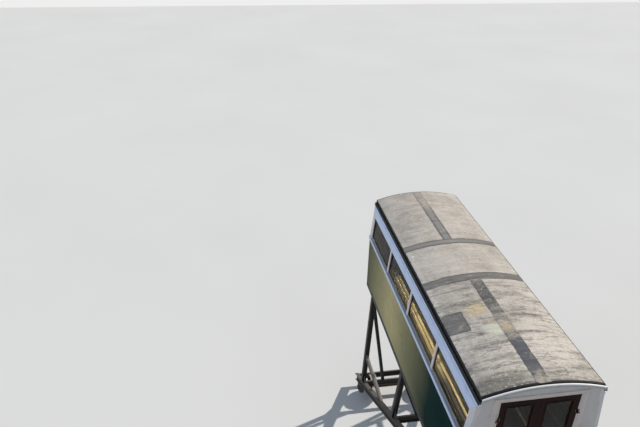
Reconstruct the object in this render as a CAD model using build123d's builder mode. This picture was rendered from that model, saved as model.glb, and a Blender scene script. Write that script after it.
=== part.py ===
"""Funicular car: a level timber-framed saloon on a wedge-shaped steel wheel frame."""
from build123d import *
from math import atan, cos, degrees, radians, sin, sqrt, tan
import os

os.makedirs("parts", exist_ok=True)

# Frame of reference, in mm: Y runs downhill, X to the right of someone looking downhill, Z up.
# The body is level. The origin is on the centreline at rail height, midway between the axles.

# Track that the car is made for
track_gauge = 1435.0
grade_ratio = 1.75  # run over rise
slope = atan(1.0 / grade_ratio)

# Wheels, axles and axleboxes
wheelbase = 4200.0  # measured along the rails
tread_radius = 270.0
flange_height = 26.0
tyre_width = 133.0
tread_taper = 5.0
flange_thickness = 30.0
flange_crest = 14.0  # width of the flange's top
flange_play = 6.0  # from the flange's outer face to the rail
rim_thickness = 38.0
web_thickness = 26.0
hub_radius = 92.0
hub_reach = 75.0  # outside the middle of the web
axle_radius = 60.0
journal_radius = 42.0
journal_length = 240.0
journal_seat = 20.0  # from the journal's end to the axlebox's outer face
bore_relief = 5.0  # past the journal's end
running_gap = 0.1
axlebox_width = 112.0  # across the car
axlebox_breadth = 160.0  # along the rails
axlebox_foot = 95.0  # below the axle's centre
axlebox_cover_radius = 60.0
axlebox_cover_depth = 22.0
horn_thickness = 26.0
keeper_thickness = 18.0
horn_flange = 16.0
horn_flange_reach = 45.0

# Inclined wheel frame
frame_spacing = 2090.0  # between the centres of the two inclined beams
beam_height = 360.0  # underside above the rails
beam_depth = 150.0
beam_width = 90.0
beam_web = 12.0
beam_flange = 15.0
beam_tail = 400.0  # past the downhill axle
cross_beam_width = 90.0
cross_beam_depth = 120.0
cross_beam_web = 10.0
cross_beam_flange = 14.0
uphill_beam_gap = 90.0  # from the uphill flanges to the cross beam's centre

# Upright frames between the inclined beams and the body
joist_depth = 100.0
joist_width = 90.0
joist_web = 9.0
joist_flange = 11.0
end_frame_gap = 62.0  # from the downhill flanges to the frame's centre, along the rails
frame_pitch = 2680.0  # between the upright frames, along the rails
strut_foot_inset = 480.0  # inboard of the inclined beam's centre
strut_size = 70.0
strut_web = 8.0
strut_flange = 8.0
strut_head_drop = 60.0  # below the head of the leg
tie_width = 66.0
tie_drop = 1660.0  # below the sole bars
tie_depth = 80.0
tie_web = 8.0
tie_flange = 9.0

# Level underframe
body_bottom = 2140.0
sole_bar_depth = 120.0
sole_bar_width = 75.0
sole_bar_web = 10.0
sole_bar_flange = 12.0
sole_bar_inset = 40.0  # from the body's side to the bar's centre
bearer_width = 80.0
bearer_web = 8.0
bearer_flange = 10.0
bearer_count = 6
headstock_thickness = 80.0
headstock_chamfer = 6.0

# Rope anchor under the uphill cross beam
anchor_cheek = 24.0
anchor_gap = 64.0  # between the cheeks
anchor_pin_radius = 25.0
anchor_base = 16.0
anchor_base_margin = 30.0  # past each cheek
anchor_reach = 60.0  # uphill of the cross beam's centre
anchor_drop = 120.0  # from the cross beam's underside to the pin
anchor_eye_radius = 60.0

# Body shell
body_length = 5570.0
body_centre_y = -485.0
body_width = 1960.0
wall_thickness = 45.0
floor_thickness = 45.0
panel_height = 1110.0
panel_corner = 12.0  # radius of the corners
waist_rail_height = 83.0
waist_rail_projection = 15.0
waist_rail_slope = 12.0
window_height = 490.0
window_head = 20.0
fascia_height = 225.0
fascia_thickness = 70.0
side_lean = radians(5.4)
window_count = 4
post_width = 65.0
corner_post_width = 144.0
rebate = 10.0
glass_thickness = 6.0
seating_gap = 0.3
lining_thickness = 12.0
moulding_height = 26.0
moulding_share = 0.66  # of the fascia's height, up to its middle
moulding_projection = 12.0
moulding_root = 5.0  # into the fascia

# Roof
roof_inset = 35.7  # from the fascia's outer face to the roof's edge
roof_rise = 143.0
roof_thickness = 28.0
roof_edge_height = 96.0  # of its top surface above the fascia's top
roof_overhang = 4.0
ceiling_thickness = 10.0
gutter_overhang = 26.0  # past the end walls
gutter_width = 35.0
gutter_depth = 47.0
gutter_back_gap = 6.0  # from the roof's edge down to the top of the back
gutter_wall = 4.0
felt_thickness = 4.0
centre_band_half = 110.0
seam_width = 160.0
first_seam_setback = 2043.0  # from the downhill face to the seam's centre
second_seam_setback = 3065.0
patch_setback = 4150.0
patch_length = 450.0
patch_width = 330.0
edging_thickness = 12.0
edging_lap = 4.0
cornice_depth = 24.0
cornice_projection = 33.0

# Doors at both ends
doorway_width = 1150.0
doorway_height = 1845.0
door_gap = 6.0
door_thickness = 36.0
door_stile = 95.0
door_top_rail = 100.0
door_middle_rail = 110.0
door_bottom_rail = 190.0
door_window_sill = 1010.0  # above the door's foot
door_panel_sink = 9.0
hinge_radius = 9.0
hinge_pin_radius = 5.0
hinge_barrel_height = 60.0
hinge_block_height = 16.0
hinge_leaf_width = 34.0
hinge_leaf_thickness = 3.0
hinge_clearance = 1.0  # from the wall to the hinge's barrel
hinge_heights = (300.0, 1500.0)  # above the door's foot

# Benches along the sides
bench_end_gap = 380.0  # to the outer faces of the end walls
seat_height = 440.0
seat_slat_width = 58.0
seat_slat_gap = 12.0
seat_slat_count = 7
slat_thickness = 22.0
back_slat_width = 62.0
back_slat_gap = 22.0
back_slat_count = 5
back_slat_thickness = 16.0
back_slat_start = 110.0  # above the seat
bench_frame_count = 5
bench_frame_width = 42.0
bench_member = 42.0
bench_upright = 20.0

# Heights and faces that follow from the sizes above
floor_top = body_bottom + floor_thickness
waist_z = body_bottom + panel_height
sill_z = waist_z + waist_rail_height
head_z = sill_z + window_height
frame_top = head_z + window_head
fascia_top = frame_top + fascia_height
sole_bar_bottom = body_bottom - sole_bar_depth
half_width = body_width / 2
uphill_face = body_centre_y - body_length / 2
downhill_face = body_centre_y + body_length / 2
roof_half = half_width - (fascia_top - waist_z) * tan(side_lean) - roof_inset
roof_start = uphill_face - roof_overhang
roof_length = body_length + 2 * roof_overhang
roof_edge_z = fascia_top + roof_edge_height
roof_radius = (roof_half**2 + roof_rise**2) / (2 * roof_rise)
arch_centre_z = roof_edge_z + roof_rise - roof_radius
under_radius = roof_radius - roof_thickness
beam_x = frame_spacing / 2
beam_top = beam_height + beam_depth
sole_bar_x = half_width - sole_bar_inset
axle_positions = (("uphill", -wheelbase / 2), ("downhill", wheelbase / 2))
sides = (("left", -1), ("right", 1))
ends = (("uphill", -1, uphill_face), ("downhill", 1, downhill_face))


def on_track(x, along, height):
    """Point x across the car, along the rails and at a height square off them."""
    y = along * cos(slope) + height * sin(slope)
    z = height * cos(slope) - along * sin(slope)
    return (x, y, z)


def along_at(y, height):
    """Distance along the rails of the point that has this y at a height off the rails."""
    return (y - height * sin(slope)) / cos(slope)


def track_plane(along, height):
    """Plane parallel to the rails: local X across the car, local Y downhill."""
    return Plane(
        origin=on_track(0, along, height),
        x_dir=(1, 0, 0),
        z_dir=(0, sin(slope), cos(slope)),
    )


def cross_plane(y):
    """Upright plane across the car: local X across, local Y up. It faces uphill."""
    return Plane(origin=(0, y, 0), x_dir=(1, 0, 0), z_dir=(0, -1, 0))


def side_x(z):
    """Half width over the outer face of a side wall, which leans in above the waist."""
    return half_width - max(0.0, z - waist_z) * tan(side_lean)


def arch_z(radius, x):
    """Height at x of an arc about the roof's centre."""
    return arch_centre_z + sqrt(radius**2 - x**2)


def arch_strip(y, x_start, x_end, inner, outer):
    """Section of a curved strip between two radii about the roof's centre."""
    x_middle = (x_start + x_end) / 2
    with BuildSketch(cross_plane(y)) as strip:
        with BuildLine():
            upper = ThreePointArc(
                (x_start, arch_z(outer, x_start)),
                (x_middle, arch_z(outer, x_middle)),
                (x_end, arch_z(outer, x_end)),
            )
            lower = ThreePointArc(
                (x_end, arch_z(inner, x_end)),
                (x_middle, arch_z(inner, x_middle)),
                (x_start, arch_z(inner, x_start)),
            )
            Line(upper @ 1, lower @ 0)
            Line(lower @ 1, upper @ 0)
        make_face()
    return strip.sketch


def lengthwise(points, x_sign, y):
    """Section of a piece that runs along one side, from (half width, height) points."""
    with BuildSketch(cross_plane(y)) as section:
        with BuildLine():
            Polyline([(x_sign * x, z) for x, z in points], close=True)
        make_face()
    return section.sketch


def joist_section(plane, width, depth, web, flange):
    """Rolled joist section: width along the plane's X, depth along its Y."""
    recess = (width - web) / 2
    with BuildSketch(plane) as section:
        Rectangle(width, depth)
        with Locations((-(web + recess) / 2, 0), ((web + recess) / 2, 0)):
            Rectangle(recess, depth - 2 * flange, mode=Mode.SUBTRACT)
    return section.sketch


def channel_section(plane, width, depth, web, flange, back):
    """Rolled channel section. back is -1 or 1: the side of its web on the plane's X."""
    recess = width - web
    with BuildSketch(plane) as section:
        Rectangle(width, depth)
        with Locations((-back * web / 2, 0)):
            Rectangle(recess, depth - 2 * flange, mode=Mode.SUBTRACT)
    return section.sketch


def line_plane(start, end, x_dir):
    """Plane at start that faces end."""
    direction = Vector(*end) - Vector(*start)
    return Plane(origin=start, x_dir=x_dir, z_dir=direction), direction.length


# Places of the two upright frames
flange_radius = tread_radius + flange_height
end_frame_along = wheelbase / 2 - flange_radius - end_frame_gap
middle_frame_along = end_frame_along - frame_pitch
end_frame_y = on_track(0, end_frame_along, beam_top)[1]
middle_frame_y = on_track(0, middle_frame_along, beam_top)[1]

# Wheelsets: each axle turns with its two flanged wheels
wheel_back = track_gauge / 2 - flange_play - flange_thickness
wheel_front = wheel_back + tyre_width
rim_radius = tread_radius - rim_thickness
web_middle = wheel_back + tyre_width / 2
web_back = web_middle - web_thickness / 2
web_front = web_middle + web_thickness / 2
hub_end = web_middle + hub_reach
journal_start = beam_x + axlebox_width / 2 - journal_length
journal_end = beam_x + axlebox_width / 2 - journal_seat
wheel_profile = (
    (wheel_back, rim_radius),
    (wheel_back, flange_radius),
    (wheel_back + flange_crest, flange_radius),
    (wheel_back + flange_thickness, tread_radius),
    (wheel_front, tread_radius - tread_taper),
    (wheel_front, rim_radius),
    (web_front, rim_radius),
    (web_front, hub_radius),
    (hub_end, hub_radius),
    (hub_end, journal_radius),
    (web_back, journal_radius),
    (web_back, rim_radius),
)
for end, along in axle_positions:
    axle_centre = on_track(0, along, tread_radius)
    with BuildPart() as wheelset:
        with BuildSketch(Plane(origin=axle_centre, x_dir=(1, 0, 0), z_dir=(0, -1, 0))) as half:
            with Locations((0, axle_radius / 2)):
                Rectangle(2 * journal_start, axle_radius)
            with Locations((0, journal_radius / 2)):
                Rectangle(2 * journal_end, journal_radius)
            for side, x_sign in sides:
                with BuildLine():
                    Polyline([(x_sign * x, r) for x, r in wheel_profile], close=True)
                make_face()
        revolve(axis=Axis(axle_centre, (1, 0, 0)))
    wheelset.part.label = f"wheelset_{end}"
    export_step(wheelset.part, f"parts/wheelset_{end}.step")

# Axleboxes outside the wheels, with blind bores for the journals
box_top = beam_height - seating_gap
box_bottom = tread_radius - axlebox_foot
with BuildPart() as axleboxes:
    for end, along in axle_positions:
        for side, x_sign in sides:
            with BuildSketch(track_plane(along, box_bottom)):
                with Locations((x_sign * beam_x, 0)):
                    Rectangle(axlebox_width, axlebox_breadth)
            extrude(amount=box_top - box_bottom)
            face_x = x_sign * (beam_x + axlebox_width / 2)
            with BuildSketch(Plane(on_track(face_x, along, tread_radius), z_dir=(x_sign, 0, 0))):
                Circle(axlebox_cover_radius)
            extrude(amount=axlebox_cover_depth)
            start = on_track(x_sign * (beam_x - axlebox_width / 2), along, tread_radius)
            with BuildSketch(Plane(start, z_dir=(x_sign, 0, 0))):
                Circle(journal_radius + running_gap)
            extrude(amount=axlebox_width - journal_seat + bore_relief, mode=Mode.SUBTRACT)
axleboxes.part.label = "axleboxes"
export_step(axleboxes.part, "parts/axleboxes.step")

# Horn guides bolted under the inclined beams, each round its axlebox
horn_foot = box_bottom - seating_gap - keeper_thickness
horn_breadth = axlebox_breadth + 2 * (horn_thickness + seating_gap)
with BuildPart() as horn_guides:
    for end, along in axle_positions:
        for side, x_sign in sides:
            with BuildSketch(track_plane(along, horn_foot)):
                with Locations((x_sign * beam_x, 0)):
                    Rectangle(beam_width, horn_breadth)
            extrude(amount=beam_height - horn_foot)
            with BuildSketch(track_plane(along, box_bottom - seating_gap)):
                with Locations((x_sign * beam_x, 0)):
                    Rectangle(axlebox_width, axlebox_breadth + 2 * seating_gap)
            extrude(amount=beam_height - box_bottom, mode=Mode.SUBTRACT)
            with BuildSketch(track_plane(along, beam_height - horn_flange)):
                with Locations((x_sign * beam_x, 0)):
                    Rectangle(beam_width, horn_breadth + 2 * horn_flange_reach)
                    Rectangle(axlebox_width, horn_breadth, mode=Mode.SUBTRACT)
            extrude(amount=horn_flange)
horn_guides.part.label = "horn_guides"
export_step(horn_guides.part, "parts/horn_guides.step")

# Inclined beams, cut level where they meet the sole bars
beam_end = wheelbase / 2 + beam_tail
beam_middle = beam_height + beam_depth / 2
for side, x_sign in sides:
    with BuildPart() as inclined_beam:
        start = on_track(x_sign * beam_x, beam_end, beam_middle)
        plane, length = line_plane(start, on_track(x_sign * beam_x, -beam_end, beam_middle), (1, 0, 0))
        section = joist_section(plane, beam_width, beam_depth, beam_web, beam_flange)
        extrude(section, amount=2 * length)
        split(bisect_by=Plane.XY.offset(sole_bar_bottom), keep=Keep.BOTTOM)
    inclined_beam.part.label = f"inclined_beam_{side}"
    export_step(inclined_beam.part, f"parts/inclined_beam_{side}.step")

# Cross beams between the inclined beams: at the tail, under each upright frame, and uphill
cross_top = beam_top - beam_flange
uphill_beam_along = -wheelbase / 2 - flange_radius - uphill_beam_gap
cross_beam_alongs = (
    beam_end - cross_beam_width / 2,
    end_frame_along,
    middle_frame_along,
    uphill_beam_along,
)
cross_beam_length = 2 * beam_x - beam_web
with BuildPart() as cross_beams:
    for along in cross_beam_alongs:
        start = on_track(-cross_beam_length / 2, along, cross_top - cross_beam_depth / 2)
        plane = Plane(origin=start, x_dir=(0, cos(slope), -sin(slope)), z_dir=(1, 0, 0))
        section = joist_section(
            plane, cross_beam_width, cross_beam_depth, cross_beam_web, cross_beam_flange
        )
        extrude(section, amount=cross_beam_length)
cross_beams.part.label = "cross_beams"
export_step(cross_beams.part, "parts/cross_beams.step")

# Legs of the upright frames, splayed from the sole bars to the inclined beams
beam_top_plane = track_plane(0, beam_top)
frame_rows = (("end", end_frame_y), ("middle", middle_frame_y))


def leg_line(x_sign, frame_y):
    """Ends of a leg's centre line: under the sole bar and on top of the inclined beam."""
    foot_z = on_track(0, along_at(frame_y, beam_top), beam_top)[2]
    top = Vector(x_sign * sole_bar_x, frame_y, sole_bar_bottom)
    foot = Vector(x_sign * beam_x, frame_y, foot_z)
    return top, foot


for name, frame_y in frame_rows:
    with BuildPart() as legs:
        for side, x_sign in sides:
            top, foot = leg_line(x_sign, frame_y)
            run = (foot - top).normalized() * joist_depth
            plane, length = line_plane(foot + run, top - run, (0, 1, 0))
            section = joist_section(plane, joist_width, joist_depth, joist_web, joist_flange)
            extrude(section, amount=length)
        split(bisect_by=Plane.XY.offset(sole_bar_bottom), keep=Keep.BOTTOM)
        split(bisect_by=beam_top_plane, keep=Keep.TOP)
    legs.part.label = f"{name}_legs"
    export_step(legs.part, f"parts/{name}_legs.step")

# Raking struts from the heads of the legs to the cross beams, cut to the legs' inner flanges
cross_top_plane = track_plane(0, cross_top)
with BuildPart() as raking_struts:
    for name, frame_y in frame_rows:
        for side, x_sign in sides:
            top, foot = leg_line(x_sign, frame_y)
            run = (foot - top).normalized()
            inward = Vector(-x_sign * abs(run.Z), 0, -abs(run.X))
            head = top + run * strut_head_drop
            beam_z = on_track(0, along_at(frame_y, cross_top), cross_top)[2]
            base = Vector(x_sign * (beam_x - strut_foot_inset), frame_y, beam_z)
            past = (base - head).normalized() * strut_size
            plane, length = line_plane(base + past, head, (0, 1, 0))
            with BuildPart(mode=Mode.PRIVATE) as strut:
                section = joist_section(plane, strut_size, strut_size, strut_web, strut_flange)
                extrude(section, amount=length)
                split(bisect_by=Plane(top + inward * joist_depth / 2, z_dir=inward))
                split(bisect_by=cross_top_plane)
            add(strut.part)
raking_struts.part.label = "raking_struts"
export_step(raking_struts.part, "parts/raking_struts.step")

# Level ties from the webs of the end legs to the inclined beams
tie_z = sole_bar_bottom - tie_drop
with BuildPart() as level_ties:
    for side, x_sign in sides:
        top, foot = leg_line(x_sign, end_frame_y)
        share = (top.Z - tie_z) / (top.Z - foot.Z)
        tie_x = top.X + (foot.X - top.X) * share
        start = (tie_x, end_frame_y - joist_web / 2, tie_z)
        plane = Plane(origin=start, x_dir=(1, 0, 0), z_dir=(0, -1, 0))
        extrude(joist_section(plane, tie_width, tie_depth, tie_web, tie_flange), amount=wheelbase / 2)
    split(bisect_by=beam_top_plane, keep=Keep.TOP)
level_ties.part.label = "level_ties"
export_step(level_ties.part, "parts/level_ties.step")

# Level underframe: sole bars with their webs outward, headstocks and cross bearers
sole_bar_length = body_length - 2 * headstock_thickness
sole_bar_middle = body_bottom - sole_bar_depth / 2
with BuildPart() as sole_bars:
    for side, x_sign in sides:
        start = (x_sign * sole_bar_x, uphill_face + headstock_thickness, sole_bar_middle)
        plane = Plane(origin=start, x_dir=(-1, 0, 0), z_dir=(0, 1, 0))
        section = channel_section(
            plane, sole_bar_width, sole_bar_depth, sole_bar_web, sole_bar_flange, -x_sign
        )
        extrude(section, amount=sole_bar_length)
sole_bars.part.label = "sole_bars"
export_step(sole_bars.part, "parts/sole_bars.step")

headstock_length = 2 * sole_bar_x + sole_bar_width
with BuildPart() as headstocks:
    for end, y_sign, face_y in ends:
        centre_y = face_y - y_sign * headstock_thickness / 2
        with BuildSketch(Plane.XY.offset(sole_bar_bottom)):
            with Locations((0, centre_y)):
                Rectangle(headstock_length, headstock_thickness)
        extrude(amount=sole_bar_depth)
    chamfer(headstocks.edges().filter_by(Axis.Z), headstock_chamfer)
headstocks.part.label = "headstocks"
export_step(headstocks.part, "parts/headstocks.step")

bearer_length = 2 * sole_bar_x - sole_bar_width
bearer_depth = sole_bar_depth - 2 * sole_bar_flange
bearer_pitch = sole_bar_length / (bearer_count + 1)
with BuildPart() as cross_bearers:
    for row in range(bearer_count):
        y = uphill_face + headstock_thickness + bearer_pitch * (row + 1)
        start = (-bearer_length / 2, y, body_bottom - bearer_depth / 2)
        plane = Plane(origin=start, x_dir=(0, 1, 0), z_dir=(1, 0, 0))
        section = joist_section(plane, bearer_width, bearer_depth, bearer_web, bearer_flange)
        extrude(section, amount=bearer_length)
cross_bearers.part.label = "cross_bearers"
export_step(cross_bearers.part, "parts/cross_bearers.step")

# Haul rope anchor: two cheeks with a pin bore, hung from the uphill cross beam
anchor_top = cross_top - cross_beam_depth
anchor_width = anchor_gap + 2 * anchor_cheek
with BuildPart() as rope_anchor:
    with BuildSketch(track_plane(uphill_beam_along, anchor_top)):
        Rectangle(anchor_width + 2 * anchor_base_margin, cross_beam_width)
    extrude(amount=-anchor_base)
    for side, x_sign in sides:
        start_x = x_sign * anchor_gap / 2
        origin = on_track(start_x, uphill_beam_along, anchor_top - anchor_base / 2)
        plane = Plane(origin=origin, x_dir=(0, cos(slope), -sin(slope)), z_dir=(1, 0, 0))
        with BuildSketch(plane):
            with Locations((-anchor_reach, anchor_base / 2 - anchor_drop)):
                Circle(anchor_eye_radius)
            with Locations((0, 0)):
                Rectangle(cross_beam_width, anchor_base)
            make_hull()
            with Locations((-anchor_reach, anchor_base / 2 - anchor_drop)):
                Circle(anchor_pin_radius, mode=Mode.SUBTRACT)
        extrude(amount=x_sign * anchor_cheek)
rope_anchor.part.label = "rope_anchor"
export_step(rope_anchor.part, "parts/rope_anchor.step")

# Floor boards between the side panels
inner_half = half_width - wall_thickness
with BuildPart() as floor:
    with BuildSketch(Plane.XY.offset(body_bottom)):
        with Locations((0, body_centre_y)):
            Rectangle(2 * inner_half, body_length)
    extrude(amount=floor_thickness)
floor.part.label = "floor"
export_step(floor.part, "parts/floor.step")

# Side walls: lower panel, lining, window frame with its waist rail, glass and fascia
shell_length = body_length - 2 * wall_thickness
glazed_length = body_length - 2 * corner_post_width - (window_count - 1) * post_width
window_width = glazed_length / window_count
bay_length = window_width + post_width
window_centres = [
    body_centre_y + bay_length * (bay - (window_count - 1) / 2) for bay in range(window_count)
]
middle_z = (sill_z + head_z) / 2
for side, x_sign in sides:
    with BuildPart() as side_panel:
        with BuildSketch(Plane.XY.offset(body_bottom)):
            with Locations((x_sign * (half_width - wall_thickness / 2), body_centre_y)):
                Rectangle(wall_thickness, body_length)
        extrude(amount=panel_height)
        corner_edges = side_panel.edges().filter_by(Axis.Z).group_by(Axis.X)[0 if x_sign < 0 else -1]
        fillet(corner_edges, panel_corner)
    side_panel.part.label = f"side_panel_{side}"
    export_step(side_panel.part, f"parts/side_panel_{side}.step")

    with BuildPart() as side_lining:
        with BuildSketch(Plane.XY.offset(floor_top)):
            with Locations((x_sign * (inner_half - lining_thickness / 2), body_centre_y)):
                Rectangle(lining_thickness, shell_length)
        extrude(amount=waist_z - floor_top)
    side_lining.part.label = f"side_lining_{side}"
    export_step(side_lining.part, f"parts/side_lining_{side}.step")

    slab = (
        (side_x(waist_z), waist_z),
        (side_x(frame_top), frame_top),
        (side_x(frame_top) - wall_thickness, frame_top),
        (side_x(waist_z) - wall_thickness, waist_z),
    )
    waist_rail = (
        (side_x(waist_z) - wall_thickness / 2, waist_z),
        (half_width + waist_rail_projection, waist_z),
        (half_width + waist_rail_projection, sill_z - waist_rail_slope),
        (side_x(sill_z), sill_z),
        (side_x(sill_z) - wall_thickness / 2, sill_z),
    )
    lap_bottom = sill_z - rebate
    lap_top = head_z + rebate
    rebate_section = (
        (side_x(lap_bottom) - wall_thickness / 2, lap_bottom),
        (side_x(lap_top) - wall_thickness / 2, lap_top),
        (side_x(lap_top) - 2 * wall_thickness, lap_top),
        (side_x(lap_bottom) - 2 * wall_thickness, lap_bottom),
    )
    with BuildPart() as side_frame:
        extrude(lengthwise(slab, x_sign, uphill_face), amount=-body_length)
        extrude(lengthwise(waist_rail, x_sign, uphill_face), amount=-body_length)
        for centre_y in window_centres:
            with BuildSketch(Plane.YZ):
                with Locations((centre_y, middle_z)):
                    Rectangle(window_width, window_height)
            extrude(amount=x_sign * body_width, mode=Mode.SUBTRACT)
            lap_start = centre_y - window_width / 2 - rebate
            section = lengthwise(rebate_section, x_sign, lap_start)
            extrude(section, amount=-(window_width + 2 * rebate), mode=Mode.SUBTRACT)
    side_frame.part.label = f"side_frame_{side}"
    export_step(side_frame.part, f"parts/side_frame_{side}.step")

    pane_bottom = lap_bottom + seating_gap
    pane_top = lap_top - seating_gap
    pane_face = wall_thickness / 2 + seating_gap
    pane_section = (
        (side_x(pane_bottom) - pane_face, pane_bottom),
        (side_x(pane_top) - pane_face, pane_top),
        (side_x(pane_top) - pane_face - glass_thickness, pane_top),
        (side_x(pane_bottom) - pane_face - glass_thickness, pane_bottom),
    )
    pane_width = window_width + 2 * (rebate - seating_gap)
    with BuildPart() as side_glass:
        for centre_y in window_centres:
            section = lengthwise(pane_section, x_sign, centre_y - pane_width / 2)
            extrude(section, amount=-pane_width)
    side_glass.part.label = f"side_glass_{side}"
    export_step(side_glass.part, f"parts/side_glass_{side}.step")

# Fascias over the windows, with a moulding along each and the roof's bearing on top
with BuildPart() as fascias:
    for side, x_sign in sides:
        fascia_inner = side_x(fascia_top) - fascia_thickness
        board = (
            (side_x(frame_top), frame_top),
            (side_x(fascia_top), fascia_top),
            (roof_half, fascia_top),
            (roof_half, arch_z(under_radius, roof_half) - seating_gap),
            (fascia_inner, arch_z(under_radius, fascia_inner) - seating_gap),
            (side_x(frame_top) - fascia_thickness, frame_top),
        )
        extrude(lengthwise(board, x_sign, uphill_face), amount=-body_length)
        moulding_z = frame_top + moulding_share * fascia_height
        moulding = (
            (side_x(moulding_z) - moulding_root, moulding_z - moulding_height / 2),
            (side_x(moulding_z) + moulding_projection / 2, moulding_z - moulding_height / 2),
            (side_x(moulding_z) + moulding_projection, moulding_z),
            (side_x(moulding_z) + moulding_projection / 2, moulding_z + moulding_height / 2),
            (side_x(moulding_z) - moulding_root, moulding_z + moulding_height / 2),
        )
        extrude(lengthwise(moulding, x_sign, uphill_face), amount=-body_length)
fascias.part.label = "fascias"
export_step(fascias.part, "parts/fascias.step")

# End walls under the arch of the roof, each with its doorway
wall_inset = wall_thickness + seating_gap
door_top = floor_top + doorway_height
for end, y_sign, face_y in ends:
    start_y = face_y if y_sign < 0 else face_y - wall_thickness
    fascia_inner = side_x(fascia_top) - fascia_thickness - seating_gap
    arch_radius = under_radius - seating_gap
    with BuildPart() as end_wall:
        with BuildSketch(cross_plane(start_y)):
            with BuildLine():
                Polyline(
                    (-fascia_inner, arch_z(arch_radius, fascia_inner)),
                    (-(side_x(frame_top) - fascia_thickness - seating_gap), frame_top),
                    (-(side_x(frame_top) - wall_inset), frame_top),
                    (-(half_width - wall_inset), waist_z),
                    (-(half_width - wall_inset), floor_top),
                    (half_width - wall_inset, floor_top),
                    (half_width - wall_inset, waist_z),
                    (side_x(frame_top) - wall_inset, frame_top),
                    (side_x(frame_top) - fascia_thickness - seating_gap, frame_top),
                    (fascia_inner, arch_z(arch_radius, fascia_inner)),
                )
                ThreePointArc(
                    (fascia_inner, arch_z(arch_radius, fascia_inner)),
                    (0, arch_z(arch_radius, 0)),
                    (-fascia_inner, arch_z(arch_radius, fascia_inner)),
                )
            make_face()
            with Locations((0, (floor_top + door_top) / 2)):
                Rectangle(doorway_width, doorway_height, mode=Mode.SUBTRACT)
        extrude(amount=-wall_thickness)
    end_wall.part.label = f"end_wall_{end}"
    export_step(end_wall.part, f"parts/end_wall_{end}.step")

# Double doors at both ends. Each leaf hangs by two barrels on the pins of blocks outside the wall
leaf_width = doorway_width / 2 - 1.5 * door_gap
leaf_height = doorway_height - 2 * door_gap
leaf_bottom = floor_top + door_gap
opening_width = leaf_width - 2 * door_stile
opening_height = leaf_height - door_window_sill - door_top_rail
opening_z = leaf_bottom + door_window_sill + opening_height / 2
panel_field_height = door_window_sill - door_middle_rail - door_bottom_rail
panel_field_z = leaf_bottom + door_bottom_rail + panel_field_height / 2
hinge_out = hinge_radius + hinge_clearance
for end, y_sign, face_y in ends:
    for side, x_sign in sides:
        leaf_x = x_sign * (door_gap / 2 + leaf_width / 2)
        hinge_x = x_sign * doorway_width / 2
        hinge_y = face_y + y_sign * hinge_out
        outer = Plane(origin=(leaf_x, face_y, 0), x_dir=(-y_sign, 0, 0), z_dir=(0, y_sign, 0))
        with BuildPart() as door_leaf:
            with BuildSketch(outer):
                with Locations((0, leaf_bottom + leaf_height / 2)):
                    Rectangle(leaf_width, leaf_height)
                with Locations((0, opening_z)):
                    Rectangle(opening_width, opening_height, mode=Mode.SUBTRACT)
            extrude(amount=-door_thickness)
            with BuildSketch(outer, outer.offset(door_panel_sink - door_thickness)):
                with Locations((0, panel_field_z)):
                    Rectangle(opening_width, panel_field_height)
            extrude(amount=-door_panel_sink, mode=Mode.SUBTRACT)
            with BuildSketch(outer.offset(-door_thickness)):
                with Locations((0, opening_z)):
                    Rectangle(opening_width + 2 * rebate, opening_height + 2 * rebate)
            extrude(amount=door_thickness / 2, mode=Mode.SUBTRACT)
            for height in hinge_heights:
                hinge_z = leaf_bottom + height
                with BuildSketch(Plane.XY.offset(hinge_z)):
                    with Locations((hinge_x, hinge_y)):
                        Circle(hinge_radius)
                    with Locations(
                        (
                            hinge_x - x_sign * hinge_leaf_width / 2,
                            face_y + y_sign * hinge_leaf_thickness / 2,
                        )
                    ):
                        Rectangle(hinge_leaf_width, hinge_leaf_thickness)
                    with Locations((hinge_x, hinge_y)):
                        Circle(hinge_pin_radius + running_gap, mode=Mode.SUBTRACT)
                extrude(amount=hinge_barrel_height)
        door_leaf.part.label = f"door_{end}_{side}"
        export_step(door_leaf.part, f"parts/door_{end}_{side}.step")

        with BuildPart() as door_glass:
            with BuildSketch(outer.offset(-door_thickness / 2 - seating_gap)):
                with Locations((0, opening_z)):
                    margin = 2 * (rebate - seating_gap)
                    Rectangle(opening_width + margin, opening_height + margin)
            extrude(amount=-glass_thickness)
        door_glass.part.label = f"door_glass_{end}_{side}"
        export_step(door_glass.part, f"parts/door_glass_{end}_{side}.step")

    with BuildPart() as door_hinges:
        block_length = hinge_pin_radius + hinge_leaf_width
        block_depth = hinge_out + hinge_radius
        for side, x_sign in sides:
            hinge_x = x_sign * doorway_width / 2
            for height in hinge_heights:
                hinge_z = leaf_bottom + height - running_gap
                with BuildSketch(Plane.XY.offset(hinge_z)):
                    with Locations(
                        (
                            hinge_x + x_sign * (hinge_leaf_width - hinge_pin_radius) / 2,
                            face_y + y_sign * block_depth / 2,
                        )
                    ):
                        Rectangle(block_length, block_depth)
                extrude(amount=-hinge_block_height)
                with BuildSketch(Plane.XY.offset(hinge_z)):
                    with Locations((hinge_x, face_y + y_sign * hinge_out)):
                        Circle(hinge_pin_radius)
                extrude(amount=hinge_barrel_height)
    door_hinges.part.label = f"door_hinges_{end}"
    export_step(door_hinges.part, f"parts/door_hinges_{end}.step")

# Roof board, ceiling and felt strips
with BuildPart() as roof:
    section = arch_strip(roof_start, -roof_half, roof_half, under_radius, roof_radius)
    extrude(section, amount=-roof_length)
roof.part.label = "roof"
export_step(roof.part, "parts/roof.step")

ceiling_half = side_x(fascia_top) - fascia_thickness - seating_gap
ceiling_outer = under_radius - seating_gap
with BuildPart() as ceiling:
    section = arch_strip(
        uphill_face + wall_thickness,
        -ceiling_half,
        ceiling_half,
        ceiling_outer - ceiling_thickness,
        ceiling_outer,
    )
    extrude(section, amount=-shell_length)
ceiling.part.label = "ceiling"
export_step(ceiling.part, "parts/ceiling.step")

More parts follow.
